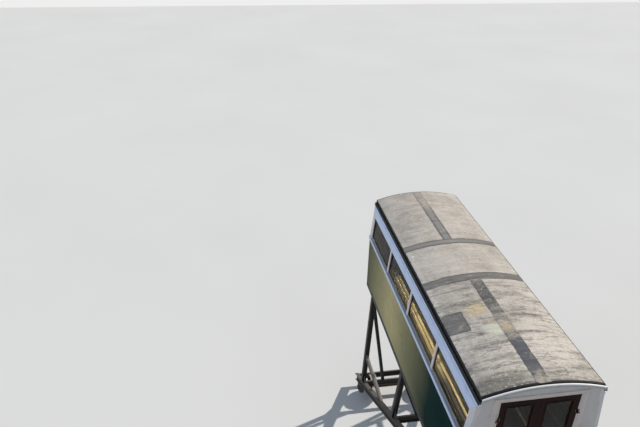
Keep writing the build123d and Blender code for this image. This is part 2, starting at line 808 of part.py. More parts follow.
# Felt strips: start and end along Y, then start and end across, measured on the roof
first_seam_y = downhill_face - first_seam_setback
second_seam_y = downhill_face - second_seam_setback
patch_y = downhill_face - patch_setback
roof_end = roof_start + roof_length
felt_rows = (
    (first_seam_y - seam_width / 2, first_seam_y + seam_width / 2, -roof_half, roof_half),
    (second_seam_y - seam_width / 2, second_seam_y + seam_width / 2, -roof_half, roof_half),
    (first_seam_y + seam_width / 2, roof_end, -centre_band_half, centre_band_half),
    (roof_start, second_seam_y - seam_width / 2, -centre_band_half, centre_band_half),
    (patch_y - patch_length / 2, patch_y + patch_length / 2, -roof_half, patch_width - roof_half),
)
with BuildPart() as felt_strips:
    for y_start, y_end, x_start, x_end in felt_rows:
        inner = roof_radius + seating_gap
        section = arch_strip(y_start, x_start, x_end, inner, inner + felt_thickness)
        extrude(section, amount=y_start - y_end)
felt_strips.part.label = "felt_strips"
export_step(felt_strips.part, "parts/felt_strips.step")

# Gutters on the shoulders of the fascias, each with a back that reaches up behind the felt's edge
gutter_start_x = roof_half + seating_gap
gutter_front_x = gutter_start_x + gutter_width
gutter_back_z = roof_edge_z - gutter_back_gap
gutter_start_y = uphill_face - gutter_overhang
gutter_length = body_length + 2 * gutter_overhang
with BuildPart() as gutters:
    for side, x_sign in sides:
        gutter = (
            (gutter_start_x, gutter_back_z),
            (gutter_start_x, fascia_top),
            (gutter_front_x, fascia_top),
            (gutter_front_x, fascia_top + gutter_depth),
            (gutter_front_x - gutter_wall, fascia_top + gutter_depth),
            (gutter_front_x - gutter_wall, fascia_top + gutter_wall),
            (gutter_start_x + gutter_wall, fascia_top + gutter_wall),
            (gutter_start_x + gutter_wall, gutter_back_z),
        )
        extrude(lengthwise(gutter, x_sign, gutter_start_y), amount=-gutter_length)
gutters.part.label = "gutters"
export_step(gutters.part, "parts/gutters.step")

# Black edging over both ends of the roof board
with BuildPart() as roof_edgings:
    for end, y_sign, face_y in ends:
        end_y = face_y + y_sign * roof_overhang
        start_y = end_y if y_sign > 0 else end_y - edging_thickness
        inner = under_radius + seating_gap
        outer = roof_radius + edging_lap
        section = arch_strip(start_y, -roof_half, roof_half, inner, outer)
        extrude(section, amount=-edging_thickness)
roof_edgings.part.label = "roof_edgings"
export_step(roof_edgings.part, "parts/roof_edgings.step")

# White cornices under the ends of the roof, which show as a thin line below the edging
with BuildPart() as end_cornices:
    for end, y_sign, face_y in ends:
        depth = roof_overhang + edging_thickness + cornice_projection
        start_y = face_y if y_sign > 0 else face_y - depth
        outer = under_radius - seating_gap
        section = arch_strip(start_y, -roof_half, roof_half, outer - cornice_depth, outer)
        extrude(section, amount=-depth)
end_cornices.part.label = "end_cornices"
export_step(end_cornices.part, "parts/end_cornices.step")

# Benches along both sides: upright frames, seat slats and back slats
lining_face = inner_half - lining_thickness
seat_top = floor_top + seat_height
seat_depth = seat_slat_count * seat_slat_width + (seat_slat_count - 1) * seat_slat_gap
back_top = (
    seat_top
    + back_slat_start
    + back_slat_count * back_slat_width
    + (back_slat_count - 1) * back_slat_gap
)
upright_face = lining_face - bench_upright
bench_length = body_length - 2 * bench_end_gap
slat_face = upright_face - back_slat_thickness
bench_pitch = (bench_length - bench_frame_width) / (bench_frame_count - 1)
bench_start = body_centre_y - bench_length / 2
with BuildPart() as bench_frames:
    for side, x_sign in sides:
        for row in range(bench_frame_count):
            y = bench_start + bench_pitch * row
            seat_under = seat_top - slat_thickness
            leg_x = slat_face - seat_depth + bench_member / 2
            with BuildSketch(cross_plane(y)):
                with Locations(
                    (x_sign * (lining_face - bench_upright / 2), (floor_top + back_top) / 2)
                ):
                    Rectangle(bench_upright, back_top - floor_top)
                with Locations(
                    (x_sign * (upright_face + slat_face - seat_depth) / 2, seat_under - bench_member / 2)
                ):
                    Rectangle(upright_face - slat_face + seat_depth, bench_member)
                with Locations((x_sign * leg_x, (floor_top + seat_under) / 2)):
                    Rectangle(bench_member, seat_under - floor_top)
            extrude(amount=-bench_frame_width)
bench_frames.part.label = "bench_frames"
export_step(bench_frames.part, "parts/bench_frames.step")

with BuildPart() as bench_seats:
    for side, x_sign in sides:
        for row in range(seat_slat_count):
            x = slat_face - seat_slat_width / 2 - row * (seat_slat_width + seat_slat_gap)
            with BuildSketch(Plane.XY.offset(seat_top - slat_thickness)):
                with Locations((x_sign * x, body_centre_y)):
                    Rectangle(seat_slat_width, bench_length)
            extrude(amount=slat_thickness)
bench_seats.part.label = "bench_seats"
export_step(bench_seats.part, "parts/bench_seats.step")

with BuildPart() as bench_backs:
    for side, x_sign in sides:
        for row in range(back_slat_count):
            z = seat_top + back_slat_start + row * (back_slat_width + back_slat_gap)
            with BuildSketch(Plane.XY.offset(z)):
                with Locations((x_sign * (upright_face - back_slat_thickness / 2), body_centre_y)):
                    Rectangle(back_slat_thickness, bench_length)
            extrude(amount=back_slat_width)
bench_backs.part.label = "bench_backs"
export_step(bench_backs.part, "parts/bench_backs.step")
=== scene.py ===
from math import cos, pi, radians, sin, tan

import bpy
import numpy as np
from mathutils import Matrix, Vector


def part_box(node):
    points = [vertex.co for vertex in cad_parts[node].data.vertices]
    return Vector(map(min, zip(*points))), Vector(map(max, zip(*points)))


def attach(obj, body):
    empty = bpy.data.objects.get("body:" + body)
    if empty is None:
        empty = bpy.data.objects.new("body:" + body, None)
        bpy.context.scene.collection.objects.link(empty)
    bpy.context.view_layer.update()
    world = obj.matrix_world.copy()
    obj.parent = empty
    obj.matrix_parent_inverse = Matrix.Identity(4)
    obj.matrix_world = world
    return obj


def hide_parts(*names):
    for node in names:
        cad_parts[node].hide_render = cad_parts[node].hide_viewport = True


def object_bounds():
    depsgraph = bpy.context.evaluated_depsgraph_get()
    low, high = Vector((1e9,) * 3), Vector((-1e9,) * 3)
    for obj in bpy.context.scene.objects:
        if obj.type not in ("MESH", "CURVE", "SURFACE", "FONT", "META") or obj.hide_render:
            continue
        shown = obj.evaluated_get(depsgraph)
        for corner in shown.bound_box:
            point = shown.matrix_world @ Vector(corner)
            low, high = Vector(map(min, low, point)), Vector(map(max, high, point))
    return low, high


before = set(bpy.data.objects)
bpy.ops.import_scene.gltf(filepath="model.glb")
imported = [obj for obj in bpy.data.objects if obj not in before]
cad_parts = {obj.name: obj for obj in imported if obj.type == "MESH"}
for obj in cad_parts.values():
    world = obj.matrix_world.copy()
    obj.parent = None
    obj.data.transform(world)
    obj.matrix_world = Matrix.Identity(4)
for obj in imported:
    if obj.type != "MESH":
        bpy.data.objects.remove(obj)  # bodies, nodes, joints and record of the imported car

cad_low, cad_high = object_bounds()

# Camera above and behind the uphill end, to the left of the car, looking down along it.
# Its place, turn and lens come from the long lines of the roof and of the body's sides.
camera_place = Vector((-3.864, -8.336, 9.810))
camera_yaw = radians(9.48)
camera_pitch = radians(28.58)
camera_roll = radians(1.08)
camera_focal_pixels = 585.0
photo_width_pixels = 640.0

sight = Vector((
    sin(camera_yaw) * cos(camera_pitch), cos(camera_yaw) * cos(camera_pitch), -sin(camera_pitch)
))
level_right = Vector((cos(camera_yaw), -sin(camera_yaw), 0.0))
level_up = level_right.cross(sight)
camera_right = level_right * cos(camera_roll) + level_up * sin(camera_roll)
camera_up = level_up * cos(camera_roll) - level_right * sin(camera_roll)
camera_data = bpy.data.cameras.new("camera")
camera_data.lens = camera_focal_pixels / photo_width_pixels * camera_data.sensor_width
camera_data.clip_end = 400.0
camera = bpy.data.objects.new("camera", camera_data)
camera.matrix_world = Matrix.Translation(camera_place) @ Matrix(
    (camera_right, camera_up, -sight)
).transposed().to_4x4()
bpy.context.scene.collection.objects.link(camera)
bpy.context.scene.camera = camera
bpy.context.scene.view_settings.view_transform = "Standard"


# Stage. A plain pale floor lies under the lowest wheel. A sun stands ahead on the right, about
# 37 degrees up, and a cool, wide lamp fills the shaded left side.
class Value:
    """What a shader node gives. New nodes work out its sums with + - * / and abs."""

    def __init__(self, socket):
        self.socket, self.tree = socket, socket.id_data

    def __add__(self, other):
        return sums("ADD", self, other)

    def __sub__(self, other):
        return sums("SUBTRACT", self, other)

    def __rsub__(self, other):
        return sums("SUBTRACT", other, self)

    def __mul__(self, other):
        return sums("MULTIPLY", self, other)

    def __truediv__(self, other):
        return sums("DIVIDE", self, other)

    def __abs__(self):
        return sums("ABSOLUTE", self)


def node(tree, kind, output, values=None, **settings):
    """One output of a new shader node. Each value goes to an input, as a number or a link."""
    made = tree.nodes.new("ShaderNode" + kind)
    for key, setting in settings.items():
        setattr(made, key, setting)
    for key, value in (values or {}).items():
        if isinstance(value, Value):
            tree.links.new(value.socket, made.inputs[key])
        else:
            made.inputs[key].default_value = value
    return Value(made.outputs[output])


def sums(operation, first, second=0.0):
    """Arithmetic on two values, of which one may be a plain number."""
    tree = (first if isinstance(first, Value) else second).tree
    return node(tree, "Math", "Value", {0: first, 1: second}, operation=operation)


def larger(first, second):
    """The larger of two values."""
    return sums("MAXIMUM", first, second)


def speckle(place, scale, detail=3.0, roughness=0.55, stretch=(1.0, 1.0, 1.0)):
    """Noise from 0 to 1 at so many grains per metre, longer where stretch is under 1."""
    spread = node(place.tree, "Mapping", "Vector", {"Vector": place, "Scale": stretch})
    values = {"Vector": spread, "Scale": scale, "Detail": detail, "Roughness": roughness}
    return node(place.tree, "TexNoise", "Fac", values)


def steps(factor, *stops):
    """A colour ramp over a factor from (position, colour) stops."""
    colours = node(factor.tree, "ValToRGB", "Color", {"Fac": factor})
    ramp = colours.socket.node.color_ramp
    for _ in range(len(stops) - 2):
        ramp.elements.new(0.5)
    for element, (position, colour) in zip(ramp.elements, stops):
        element.position = position
        element.color = (*colour, 1.0)
    return colours


def blended(share, first, second):
    """Two colours mixed, with so much of the second."""
    first, second = (c if isinstance(c, Value) else (*c, 1.0) for c in (first, second))
    return node(share.tree, "Mix", 2, {0: share, 6: first, 7: second}, data_type="RGBA")


def start_finish(name):
    """A new material and its object coordinates."""
    finish = bpy.data.materials.new(name)
    finish.use_nodes = True
    return finish, node(finish.node_tree, "TexCoord", "Object")


def connect(finish, **sources):
    """Gives the finish's shader its inputs by name, each from a value or a plain number."""
    names = {"colour": "Base Color", "specular": "Specular IOR Level", "ior": "IOR"}
    shader = finish.node_tree.nodes["Principled BSDF"]
    for key, source in sources.items():
        socket = shader.inputs[names.get(key, key.replace("_", " ").title())]
        if isinstance(source, Value):
            source.tree.links.new(source.socket, socket)
        else:
            socket.default_value = source
    return finish


def seen_rays(tree):
    """1 for the rays that show the surroundings: from the camera, in gloss and through glass."""
    camera_ray, glossy_ray, clear_ray = (
        node(tree, "LightPath", f"Is {kind} Ray") for kind in ("Camera", "Glossy", "Transmission")
    )
    return larger(larger(camera_ray, glossy_ray), clear_ray)


def rectangle(x, y):
    """Corners of a rectangle about its centre, from its half width and half height."""
    return [(-x, -y), (x, -y), (x, y), (-x, y)]


stage_half = 60.0
floor_paint, place = start_finish("stage_floor")
patches = speckle(place, 0.15, detail=2.0)
pale = steps(patches, (0.3, (0.76, 0.755, 0.74)), (0.7, (0.79, 0.785, 0.77)))
connect(
    floor_paint, colour=blended(seen_rays(place.tree), (0.42, 0.42, 0.41), pale),
    roughness=0.9, specular=0.1,
)
stage_mesh = bpy.data.meshes.new("stage_floor")
stage_mesh.from_pydata(
    [(x, y, cad_low.z) for x, y in rectangle(stage_half, stage_half)], [], [(0, 1, 2, 3)]
)
stage_mesh.materials.append(floor_paint)
stage_floor = bpy.data.objects.new("stage_floor", stage_mesh)
bpy.context.scene.collection.objects.link(stage_floor)

world = bpy.data.worlds.new("studio")
bpy.context.scene.world = world
world.use_nodes = True
sky_tree = world.node_tree
sky_light = sky_tree.nodes["Background"]
sky_light.inputs["Color"].default_value = (0.78, 0.88, 1.0, 1.0)
sky_light.inputs["Strength"].default_value = 0.32
backdrop = node(
    sky_tree, "Background", "Background", {"Color": (0.86, 0.86, 0.85, 1.0), "Strength": 1.0}
)
sky_mix = node(
    sky_tree, "MixShader", "Shader",
    {0: seen_rays(sky_tree), 1: Value(sky_light.outputs["Background"]), 2: backdrop},
)
sky_tree.links.new(sky_mix.socket, sky_tree.nodes["World Output"].inputs["Surface"])


def hang_lamp(name, toward, strength, colour, spread):
    """A distant lamp that shines along a direction, as soft as its spread in degrees."""
    data = bpy.data.lights.new(name, "SUN")
    data.energy = strength
    data.color = colour
    data.angle = radians(spread)
    lamp = bpy.data.objects.new(name, data)
    lamp.rotation_mode = "QUATERNION"
    lamp.rotation_quaternion = Vector(toward).to_track_quat("-Z", "Y")
    bpy.context.scene.collection.objects.link(lamp)


hang_lamp("sun", (-0.68, -0.24, -0.553), 3.25, (1.0, 0.955, 0.89), 1.2)
hang_lamp("left_fill", (0.96, 0.22, -0.16), 0.92, (0.47, 0.66, 1.0), 50.0)


# Wheelsets. Each is a forged axle with two pressed-on disc wheels. Treads and flanges are
# polished by the rails, and the discs and axle carry old dark paint with rust.
ends = (("uphill", -1), ("downhill", 1))
flange_height = 0.026
wheel_low, wheel_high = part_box("wheelset_uphill")
tread_radius = (wheel_high.z - wheel_low.z) / 2 - flange_height


def axle_centre(end):
    """Centre of a wheelset, from its box."""
    low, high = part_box(f"wheelset_{end}")
    return (low + high) / 2


def dress(finish, *names):
    """Gives CAD nodes a finish."""
    for name in names:
        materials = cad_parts[name].data.materials
        materials.clear()
        materials.append(finish)


def between(value, low, high):
    """How far a value has gone from low to high, kept from 0 to 1."""
    return node(
        value.tree, "MapRange", "Result", {"Value": value, "From Min": low, "From Max": high}
    )


def raised(height, depth, strength=1.0, over=None):
    """Normals of a surface that rises by so many metres where the height is 1."""
    values = {"Height": height, "Distance": depth, "Strength": strength}
    if over is not None:
        values["Normal"] = over
    return node(height.tree, "Bump", "Normal", values)


def far_from(centre, place, weights):
    """Distance of a place from a centre, with a weight for each of its three parts."""
    tree = place.tree
    back = tuple(0.0 - part for part in centre)
    moved = node(tree, "VectorMath", "Vector", {0: place, 1: back}, operation="ADD")
    weighed = node(tree, "VectorMath", "Vector", {0: moved, 1: weights}, operation="MULTIPLY")
    return node(tree, "VectorMath", "Value", {0: weighed}, operation="LENGTH")


def wheel_finish(end):
    """Steel that is bright where its distance from the axle's line reaches the tread."""
    finish, place = start_finish(f"wheel_steel_{end}")
    reach = far_from(axle_centre(end), place, (0.0, 1.0, 1.0))
    grain = speckle(place, 35.0, detail=6.0)
    flakes = speckle(place, 140.0, detail=4.0, roughness=0.7)
    worn = between(reach, tread_radius - 0.014, tread_radius - 0.006)
    rust = steps(
        grain, (0.35, (0.022, 0.018, 0.016)), (0.52, (0.060, 0.032, 0.020)),
        (0.72, (0.15, 0.068, 0.032)),
    )
    bright = steps(grain, (0.3, (0.42, 0.39, 0.36)), (0.7, (0.60, 0.57, 0.54)))
    return connect(
        finish, colour=blended(worn, rust, bright), roughness=between(grain - worn, -0.9, 0.9),
        metallic=worn, normal=raised(flakes, 0.0012, 0.5),
    )


for end, _ in ends:
    dress(wheel_finish(end), f"wheelset_{end}")


# Axleboxes, horn guides and the rope anchor. Dark oily iron castings with rust, bolted under
# the inclined beams. Bolt heads sit on the covers, the guides' feet and the keepers.
x_axis, y_axis, z_axis = np.eye(3)


def toned(colour, share):
    """A colour so many times as bright."""
    return tuple(share * part for part in colour)


def oily_iron(name, dark, rusty, gloss=0.5):
    """Cast iron with a rough skin, rust in patches and oil that darkens it."""
    finish, place = start_finish(name)
    patches = speckle(place, 9.0, detail=7.0, roughness=0.7)
    return connect(
        finish, colour=steps(patches, (0.40, dark), (0.56, toned(dark, 1.7)), (0.72, rusty)),
        roughness=between(patches, 0.1, 0.8), specular=gloss,
        normal=raised(speckle(place, 220.0, detail=4.0), 0.0012, 0.6),
    )


def lay_piece(name, shell, finish, body, smooth_below=None):
    """A piece from the points and faces of a shell. It rides on a body and has a slot."""
    points, faces = shell
    mesh = bpy.data.meshes.new(name)
    mesh.from_pydata(points.tolist(), [], faces)
    mesh.validate()
    mesh.materials.append(finish)
    if smooth_below is not None:
        mesh.shade_smooth()
        mesh.set_sharp_from_angle(angle=radians(smooth_below))
    piece = bpy.data.objects.new(name, mesh)
    bpy.context.scene.collection.objects.link(piece)
    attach(piece, body)
    return piece


def joined(*shells):
    """Several shells as one list of points and faces."""
    points, faces, count = [], [], 0
    for shell_points, shell_faces in shells:
        points.append(shell_points)
        faces += [[corner + count for corner in face] for face in shell_faces]
        count += len(shell_points)
    return np.concatenate(points), faces


def bands(corners, stations, closed=False):
    """Faces between rings of so many corners, each ring joined to the next."""
    ring = np.arange(corners)
    after = np.roll(ring, -1)
    low = np.arange(stations if closed else stations - 1)[:, None] * corners
    high = (low + corners) % (corners * stations)
    return np.stack((ring + low, after + low, after + high, ring + high), axis=-1).reshape(-1, 4)


def goes_round(outline):
    """Whether an outline turns counterclockwise, by the sign of its area."""
    x, y = outline.T
    return np.sum(x * np.roll(y, -1) - np.roll(x, -1) * y) > 0


def bars(outline, starts, stops, across, up):
    """Straight bars. Each carries a closed outline of (across, up) points from its start to
    its stop. The outline turns so that its walls face outwards for either direction."""
    starts, stops = (np.atleast_2d(np.asarray(v, float)) for v in (starts, stops))
    across, up = (np.broadcast_to(np.asarray(v, float), starts.shape) for v in (across, up))
    outline = np.asarray(outline, float)
    corners = len(outline)
    offset = outline[None, :, :1] * across[:, None] + outline[None, :, 1:] * up[:, None]
    points = np.concatenate((starts[:, None] + offset, stops[:, None] + offset), axis=1)
    walls = bands(corners, 2)
    lids = np.stack((np.arange(corners)[::-1], np.arange(corners) + corners))
    ahead = np.einsum("ij,ij->i", np.cross(across, up), stops - starts) > 0
    faces = []
    for row in range(len(starts)):
        turn = 1 if ahead[row] == goes_round(outline) else -1
        base = 2 * corners * row
        faces += (walls[:, ::turn] + base).tolist() + (lids[:, ::turn] + base).tolist()
    return points.reshape(-1, 3), faces


def hexagon(size):
    """Outline of a bolt head with six sides, from its half width over the corners."""
    turn = np.arange(6) * pi / 3
    return np.stack((size * np.cos(turn), size * np.sin(turn)), axis=1)


def grid(*ranges):
    """Every combination of the given values, as one array for each of them."""
    return np.stack(np.meshgrid(*ranges, indexing="ij"), axis=-1).reshape(-1, len(ranges)).T


castings_iron = oily_iron("castings_iron", (0.022, 0.020, 0.018), (0.12, 0.055, 0.026))
bolt_iron = oily_iron("bolt_iron", (0.040, 0.034, 0.029), (0.17, 0.080, 0.038))
dress(castings_iron, "axleboxes", "horn_guides", "rope_anchor")

axle_line = np.array(axle_centre("uphill"))
drop = np.array((axle_centre("downhill") - axle_centre("uphill")).normalized())
rise = np.cross(x_axis, drop)
box_cover_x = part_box("axleboxes")[1].x
beam_low, beam_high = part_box("inclined_beam_right")
beam_x = (beam_low.x + beam_high.x) / 2
beam_underside = 0.360 - tread_radius  # all three heights are above the axles' line
beam_top = 0.510 - tread_radius
keeper_foot = 0.157 - tread_radius
cover_bolt_circle, keeper_bolt_reach, guide_bolt_reach = 0.046, 0.093, 0.130
guide_bolt_xs = (-1.024, -1.066, 1.024, 1.066)
guide_foot_thickness = 0.016


def on_frame(x, distance, height):
    """Points across the car, along the rails from the uphill axle and square off its line."""
    x, distance, height = (v[..., None] for v in np.broadcast_arrays(x, distance, height))
    return axle_line + x * x_axis + distance * drop + height * rise


axle_distances = np.array([0.0, float((np.array(axle_centre("downhill")) - axle_line) @ drop)])
x, distance, turn = grid((-1, 1), axle_distances, np.arange(4) * pi / 2 + pi / 4)
cover_bolts = on_frame(
    x * box_cover_x, distance + cover_bolt_circle * np.cos(turn), cover_bolt_circle * np.sin(turn)
)
cover_side = np.sign(cover_bolts[:, :1]) * x_axis
x, distance, offset = grid((-1, 1), axle_distances, (-keeper_bolt_reach, keeper_bolt_reach))
keeper_bolts = on_frame(x * beam_x, distance + offset, keeper_foot)
x, distance, offset = grid(guide_bolt_xs, axle_distances, (-guide_bolt_reach, guide_bolt_reach))
guide_bolts = on_frame(x, distance + offset, beam_underside - guide_foot_thickness)
bolts = joined(
    bars(hexagon(0.009), cover_bolts, cover_bolts + 0.008 * cover_side, drop, rise),
    bars(hexagon(0.013), keeper_bolts, keeper_bolts - 0.014 * rise, x_axis, drop),
    bars(hexagon(0.011), guide_bolts, guide_bolts - 0.010 * rise, x_axis, drop),
)
lay_piece("axlebox_bolts", bolts, bolt_iron, "car")


# Wheel frame. Rolled steel joists, riveted and bolted, under dark paint that has dulled, with
# rust where water stands and dust on faces that look up. The level ties have worn paler.
def along(place, axis):
    """One coordinate of a place, named X, Y or Z."""
    return node(place.tree, "SeparateXYZ", axis, {"Vector": place})


def looks_up(place):
    """How squarely the surface at a place looks up: 1 on top, 0 upright, -1 underneath."""
    return along(node(place.tree, "NewGeometry", "Normal"), "Z")


def frame_paint(name, paint, dust, rust_share):
    """Old paint over steel: blotches, rust in spots and dust on faces that look up."""
    finish, place = start_finish(name)
    blotches = speckle(place, 3.5, detail=8.0, roughness=0.65)
    spots = speckle(place, 55.0, detail=5.0, roughness=0.7)
    painted = steps(blotches, (0.35, paint), (0.65, toned(paint, 2.0)))
    rusty = between(blotches + spots, 1.20 - rust_share, 1.36 - rust_share)
    rust = steps(spots, (0.3, (0.085, 0.036, 0.018)), (0.7, (0.19, 0.085, 0.038)))
    painted = blended(rusty, painted, rust)
    dusty = between(looks_up(place), 0.5, 1.0) * between(spots, 0.20, 0.62)
    return connect(
        finish, colour=blended(dusty * 0.7, painted, dust),
        roughness=between(blotches, -0.3, 0.9), specular=0.35, normal=raised(spots, 0.0008, 0.5),
    )


frame_steel = frame_paint("frame_steel", (0.026, 0.025, 0.024), (0.21, 0.185, 0.155), 0.08)
tie_steel = frame_paint("tie_steel", (0.17, 0.145, 0.125), (0.42, 0.37, 0.32), 0.04)
dress(
    frame_steel, "inclined_beam_left", "inclined_beam_right", "cross_beams", "end_legs",
    "middle_legs", "sole_bars", "headstocks", "cross_bearers", "raking_struts",
)
dress(tie_steel, "level_ties")


# Feet and heads of the legs. Steel plates lie under the sole bars and on the inclined beams,
# with a triangular knee each way along the beam, all riveted and bolted.
def spots_at(x, y, z):
    """Points from their coordinates, each a number or an array."""
    return np.stack(np.broadcast_arrays(x, y, z), axis=-1)


sole_x = 0.940
sole_low, sole_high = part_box("sole_bars")
leg_ys = [(low.y + high.y) / 2 for low, high in (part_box("end_legs"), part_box("middle_legs"))]
leg_web_face, plate_thickness, knee_half = 0.0045, 0.008, 0.005
knee = [(0.0, 0.0), (0.190, 0.0), (0.190, 0.018), (0.018, 0.190), (0.0, 0.190)]
foot_distances = [(y - axle_line[1] - beam_top * rise[1]) / drop[1] for y in leg_ys]
x, distance = grid((-1.0, 1.0), foot_distances)
leg_feet = on_frame(x * beam_x, distance, beam_top)
x, y = grid((-1.0, 1.0), leg_ys)
leg_heads = spots_at(x * sole_x, y, sole_low.z)
foot_faces, head_faces = leg_feet + plate_thickness * rise, leg_heads - plate_thickness * z_axis
bolt_signs = grid((-1, 1), (-1, 1)).T
foot_bolts = np.concatenate([
    foot_faces + 0.031 * a * x_axis + 0.084 * b * drop for a, b in bolt_signs
])
head_bolts = np.concatenate([
    head_faces + 0.025 * a * x_axis + 0.070 * b * y_axis for a, b in bolt_signs
])
leg_run = (leg_heads - leg_feet) / np.linalg.norm(leg_heads - leg_feet, axis=1)[:, None]
knee_shells = []
for foot, run in zip(leg_feet, leg_run):
    for way in (-1, 1):
        past_web = way * leg_web_face * (y_axis + drop[2] / drop[1] * z_axis)
        corner = foot + (plate_thickness / rise[2]) * z_axis + past_web
        knee_shells.append(bars(
            knee, corner - knee_half * x_axis, corner + knee_half * x_axis, way * drop, run
        ))
plates = joined(
    bars(rectangle(0.045, 0.100), leg_feet, foot_faces, x_axis, drop),
    bars(rectangle(0.037, 0.085), head_faces, leg_heads, x_axis, y_axis),
    bars(hexagon(0.011), foot_bolts, foot_bolts + 0.010 * rise, x_axis, drop),
    bars(hexagon(0.010), head_bolts, head_bolts - 0.009 * z_axis, x_axis, y_axis),
    *knee_shells,
)
lay_piece("leg_plates", plates, frame_steel, "car")


# Rivets. Round heads stand where the cross beams meet the webs of the inclined beams, along
# the outer faces of the sole bars at each cross bearer, and round the headstocks' ends.
def domes(radius, height, centres, axes, rings=3, segments=10):
    """Round heads. A point's distance from the axis falls as the cosine, and its height
    grows as the sine, of an angle that runs from the rim to the crown."""
    centres = np.atleast_2d(np.asarray(centres, float))
    axes = np.broadcast_to(np.asarray(axes, float), centres.shape)
    helper = np.where(np.abs(axes[:, 2:]) > 0.9, x_axis, z_axis)
    across = np.cross(helper, axes)
    across /= np.linalg.norm(across, axis=1)[:, None]
    up = np.cross(axes, across)
    lift = np.linspace(0.0, pi / 2, rings + 1)[:-1]
    turn = np.linspace(0.0, 2 * pi, segments, endpoint=False)
    flat = radius * (
        np.cos(turn)[None, :, None] * across[:, None] + np.sin(turn)[None, :, None] * up[:, None]
    )
    points = (
        centres[:, None, None]
        + np.cos(lift)[None, :, None, None] * flat[:, None]
        + height * np.sin(lift)[None, :, None, None] * axes[:, None, None]
    ).reshape(len(centres), -1, 3)
    points = np.concatenate((points, (centres + height * axes)[:, None]), axis=1)
    ring = np.arange(segments)
    last = ring + (rings - 1) * segments
    cap = np.stack((last, np.roll(last, -1), np.full(segments, rings * segments)), axis=1)
    base = np.arange(len(centres)) * points.shape[1]
    faces = (bands(segments, rings)[None] + base[:, None, None]).reshape(-1, 4).tolist()
    faces += (cap[None] + base[:, None, None]).reshape(-1, 3).tolist()
    faces += (ring[::-1][None] + base[:, None]).tolist()
    return points.reshape(-1, 3), faces


beam_web_face = beam_x + 0.006
stock_middle_y = -0.485
cross_distances = axle_distances.mean() + np.array([2.455, 1.742, -0.938, -2.486])
x, distance, offset, height = grid((-1.0, 1.0), cross_distances, (-0.025, 0.025), (-0.105, -0.045))
web_rivets = on_frame(x * beam_web_face, distance + offset, beam_top + height)
bearer_low, bearer_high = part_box("cross_bearers")
bearer_ys = np.linspace(bearer_low.y + 0.04, bearer_high.y - 0.04, 6)
x, y, offset, z = grid((-1.0, 1.0), bearer_ys, (-0.022, 0.022), (0.035, 0.085))
sole_rivets = spots_at(x * sole_high.x, y + offset, sole_low.z + z)
head_low, head_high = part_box("headstocks")
x, y, z = grid((-0.935, -0.885, 0.885, 0.935), (head_low.y, head_high.y), (0.030, 0.090))
stock_rivets = spots_at(x, y, sole_low.z + z)
rivets = joined(
    domes(0.010, 0.007, web_rivets, np.sign(web_rivets[:, :1]) * x_axis),
    domes(0.009, 0.006, sole_rivets, np.sign(sole_rivets[:, :1]) * x_axis),
    domes(0.011, 0.008, stock_rivets, np.sign(stock_rivets[:, 1:2] - stock_middle_y) * y_axis),
)
lay_piece("frame_rivets", rivets, frame_steel, "car", smooth_below=60)


# Floor. Tongued boards are laid along the car on the cross bearers and nailed down. The gangway
# is painted paler, as a painted patch of sunlight, and the boards' joints are dark.
def tongued(name, width, axis, light, dark, stretch, gloss, lit_patch=None):
    """Boards of one width side by side along X, Y or Z: grain, a tone for each board and a
    groove at each joint. gloss is the weight of the varnish over them. They are painted
    paler, as painted sunlight, where the function for the lit patch gives 1."""
    finish, place = start_finish(name)
    count = along(place, axis) / width
    groove = between(abs(sums("FRACT", count) - 0.5), 0.46, 0.495)
    board = node(
        place.tree, "TexWhiteNoise", "Value", {"W": sums("FLOOR", count)}, noise_dimensions="1D"
    )
    figure = speckle(place, 30.0, detail=7.0, roughness=0.6, stretch=stretch)
    tone = figure * 0.75 + board * 0.25
    timber = steps(tone, (0.34, dark), (0.68, light))
    if lit_patch is not None:
        lit_boards = steps(tone, (0.34, (0.42, 0.33, 0.19)), (0.68, (0.72, 0.60, 0.38)))
        timber = blended(lit_patch(place), timber, lit_boards)
    return connect(
        finish, colour=blended(groove, timber, toned(dark, 0.2)),
        roughness=between(figure, -0.5, 1.8 if gloss else 0.9),
        normal=raised(figure - groove * 5.0, 0.0007), coat_weight=gloss, coat_roughness=0.15,
    )


def sunlit_gangway(place):
    """1 in the gangway between the benches, up to the step inside the downhill doors, where the
    boards take a painted patch of sunlight.
    """
    middle = between(abs(along(place, "X")), 0.40, 0.34)
    return middle * between(along(place, "Y"), 1.30, 0.90)


floor_finish = tongued(
    "floor_boards", 0.115, "X", (0.24, 0.155, 0.095), (0.085, 0.052, 0.032), (1.0, 0.05, 1.0), 0.0,
    lit_patch=sunlit_gangway,
)
dress(floor_finish, "floor")

# Lower side panels. Smooth boards under very dark green coach paint and varnish, a little
# wavy along the car, with dust and rain streaks towards the foot. An olive painted reflection
# lies along the middle of the left side, faint on the right.
green_gloss, place = start_finish("green_gloss")
panel_low, panel_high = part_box("side_panel_left")
reflection_middle_y = 0.45
waves = speckle(place, 1.1, detail=1.5, stretch=(1.0, 0.6, 1.0))
dirt = speckle(place, 6.0, detail=8.0, roughness=0.7)
runs = speckle(place, 22.0, detail=4.0, stretch=(1.0, 1.0, 0.05))
foot = between(along(place, "Z"), panel_low.z + 0.40, panel_low.z)
soiled = larger(foot * between(dirt, 0.40, 0.75), between(runs, 0.62, 0.85) * 0.20)
green = steps(waves, (0.38, (0.0012, 0.024, 0.021)), (0.62, (0.004, 0.034, 0.024)))
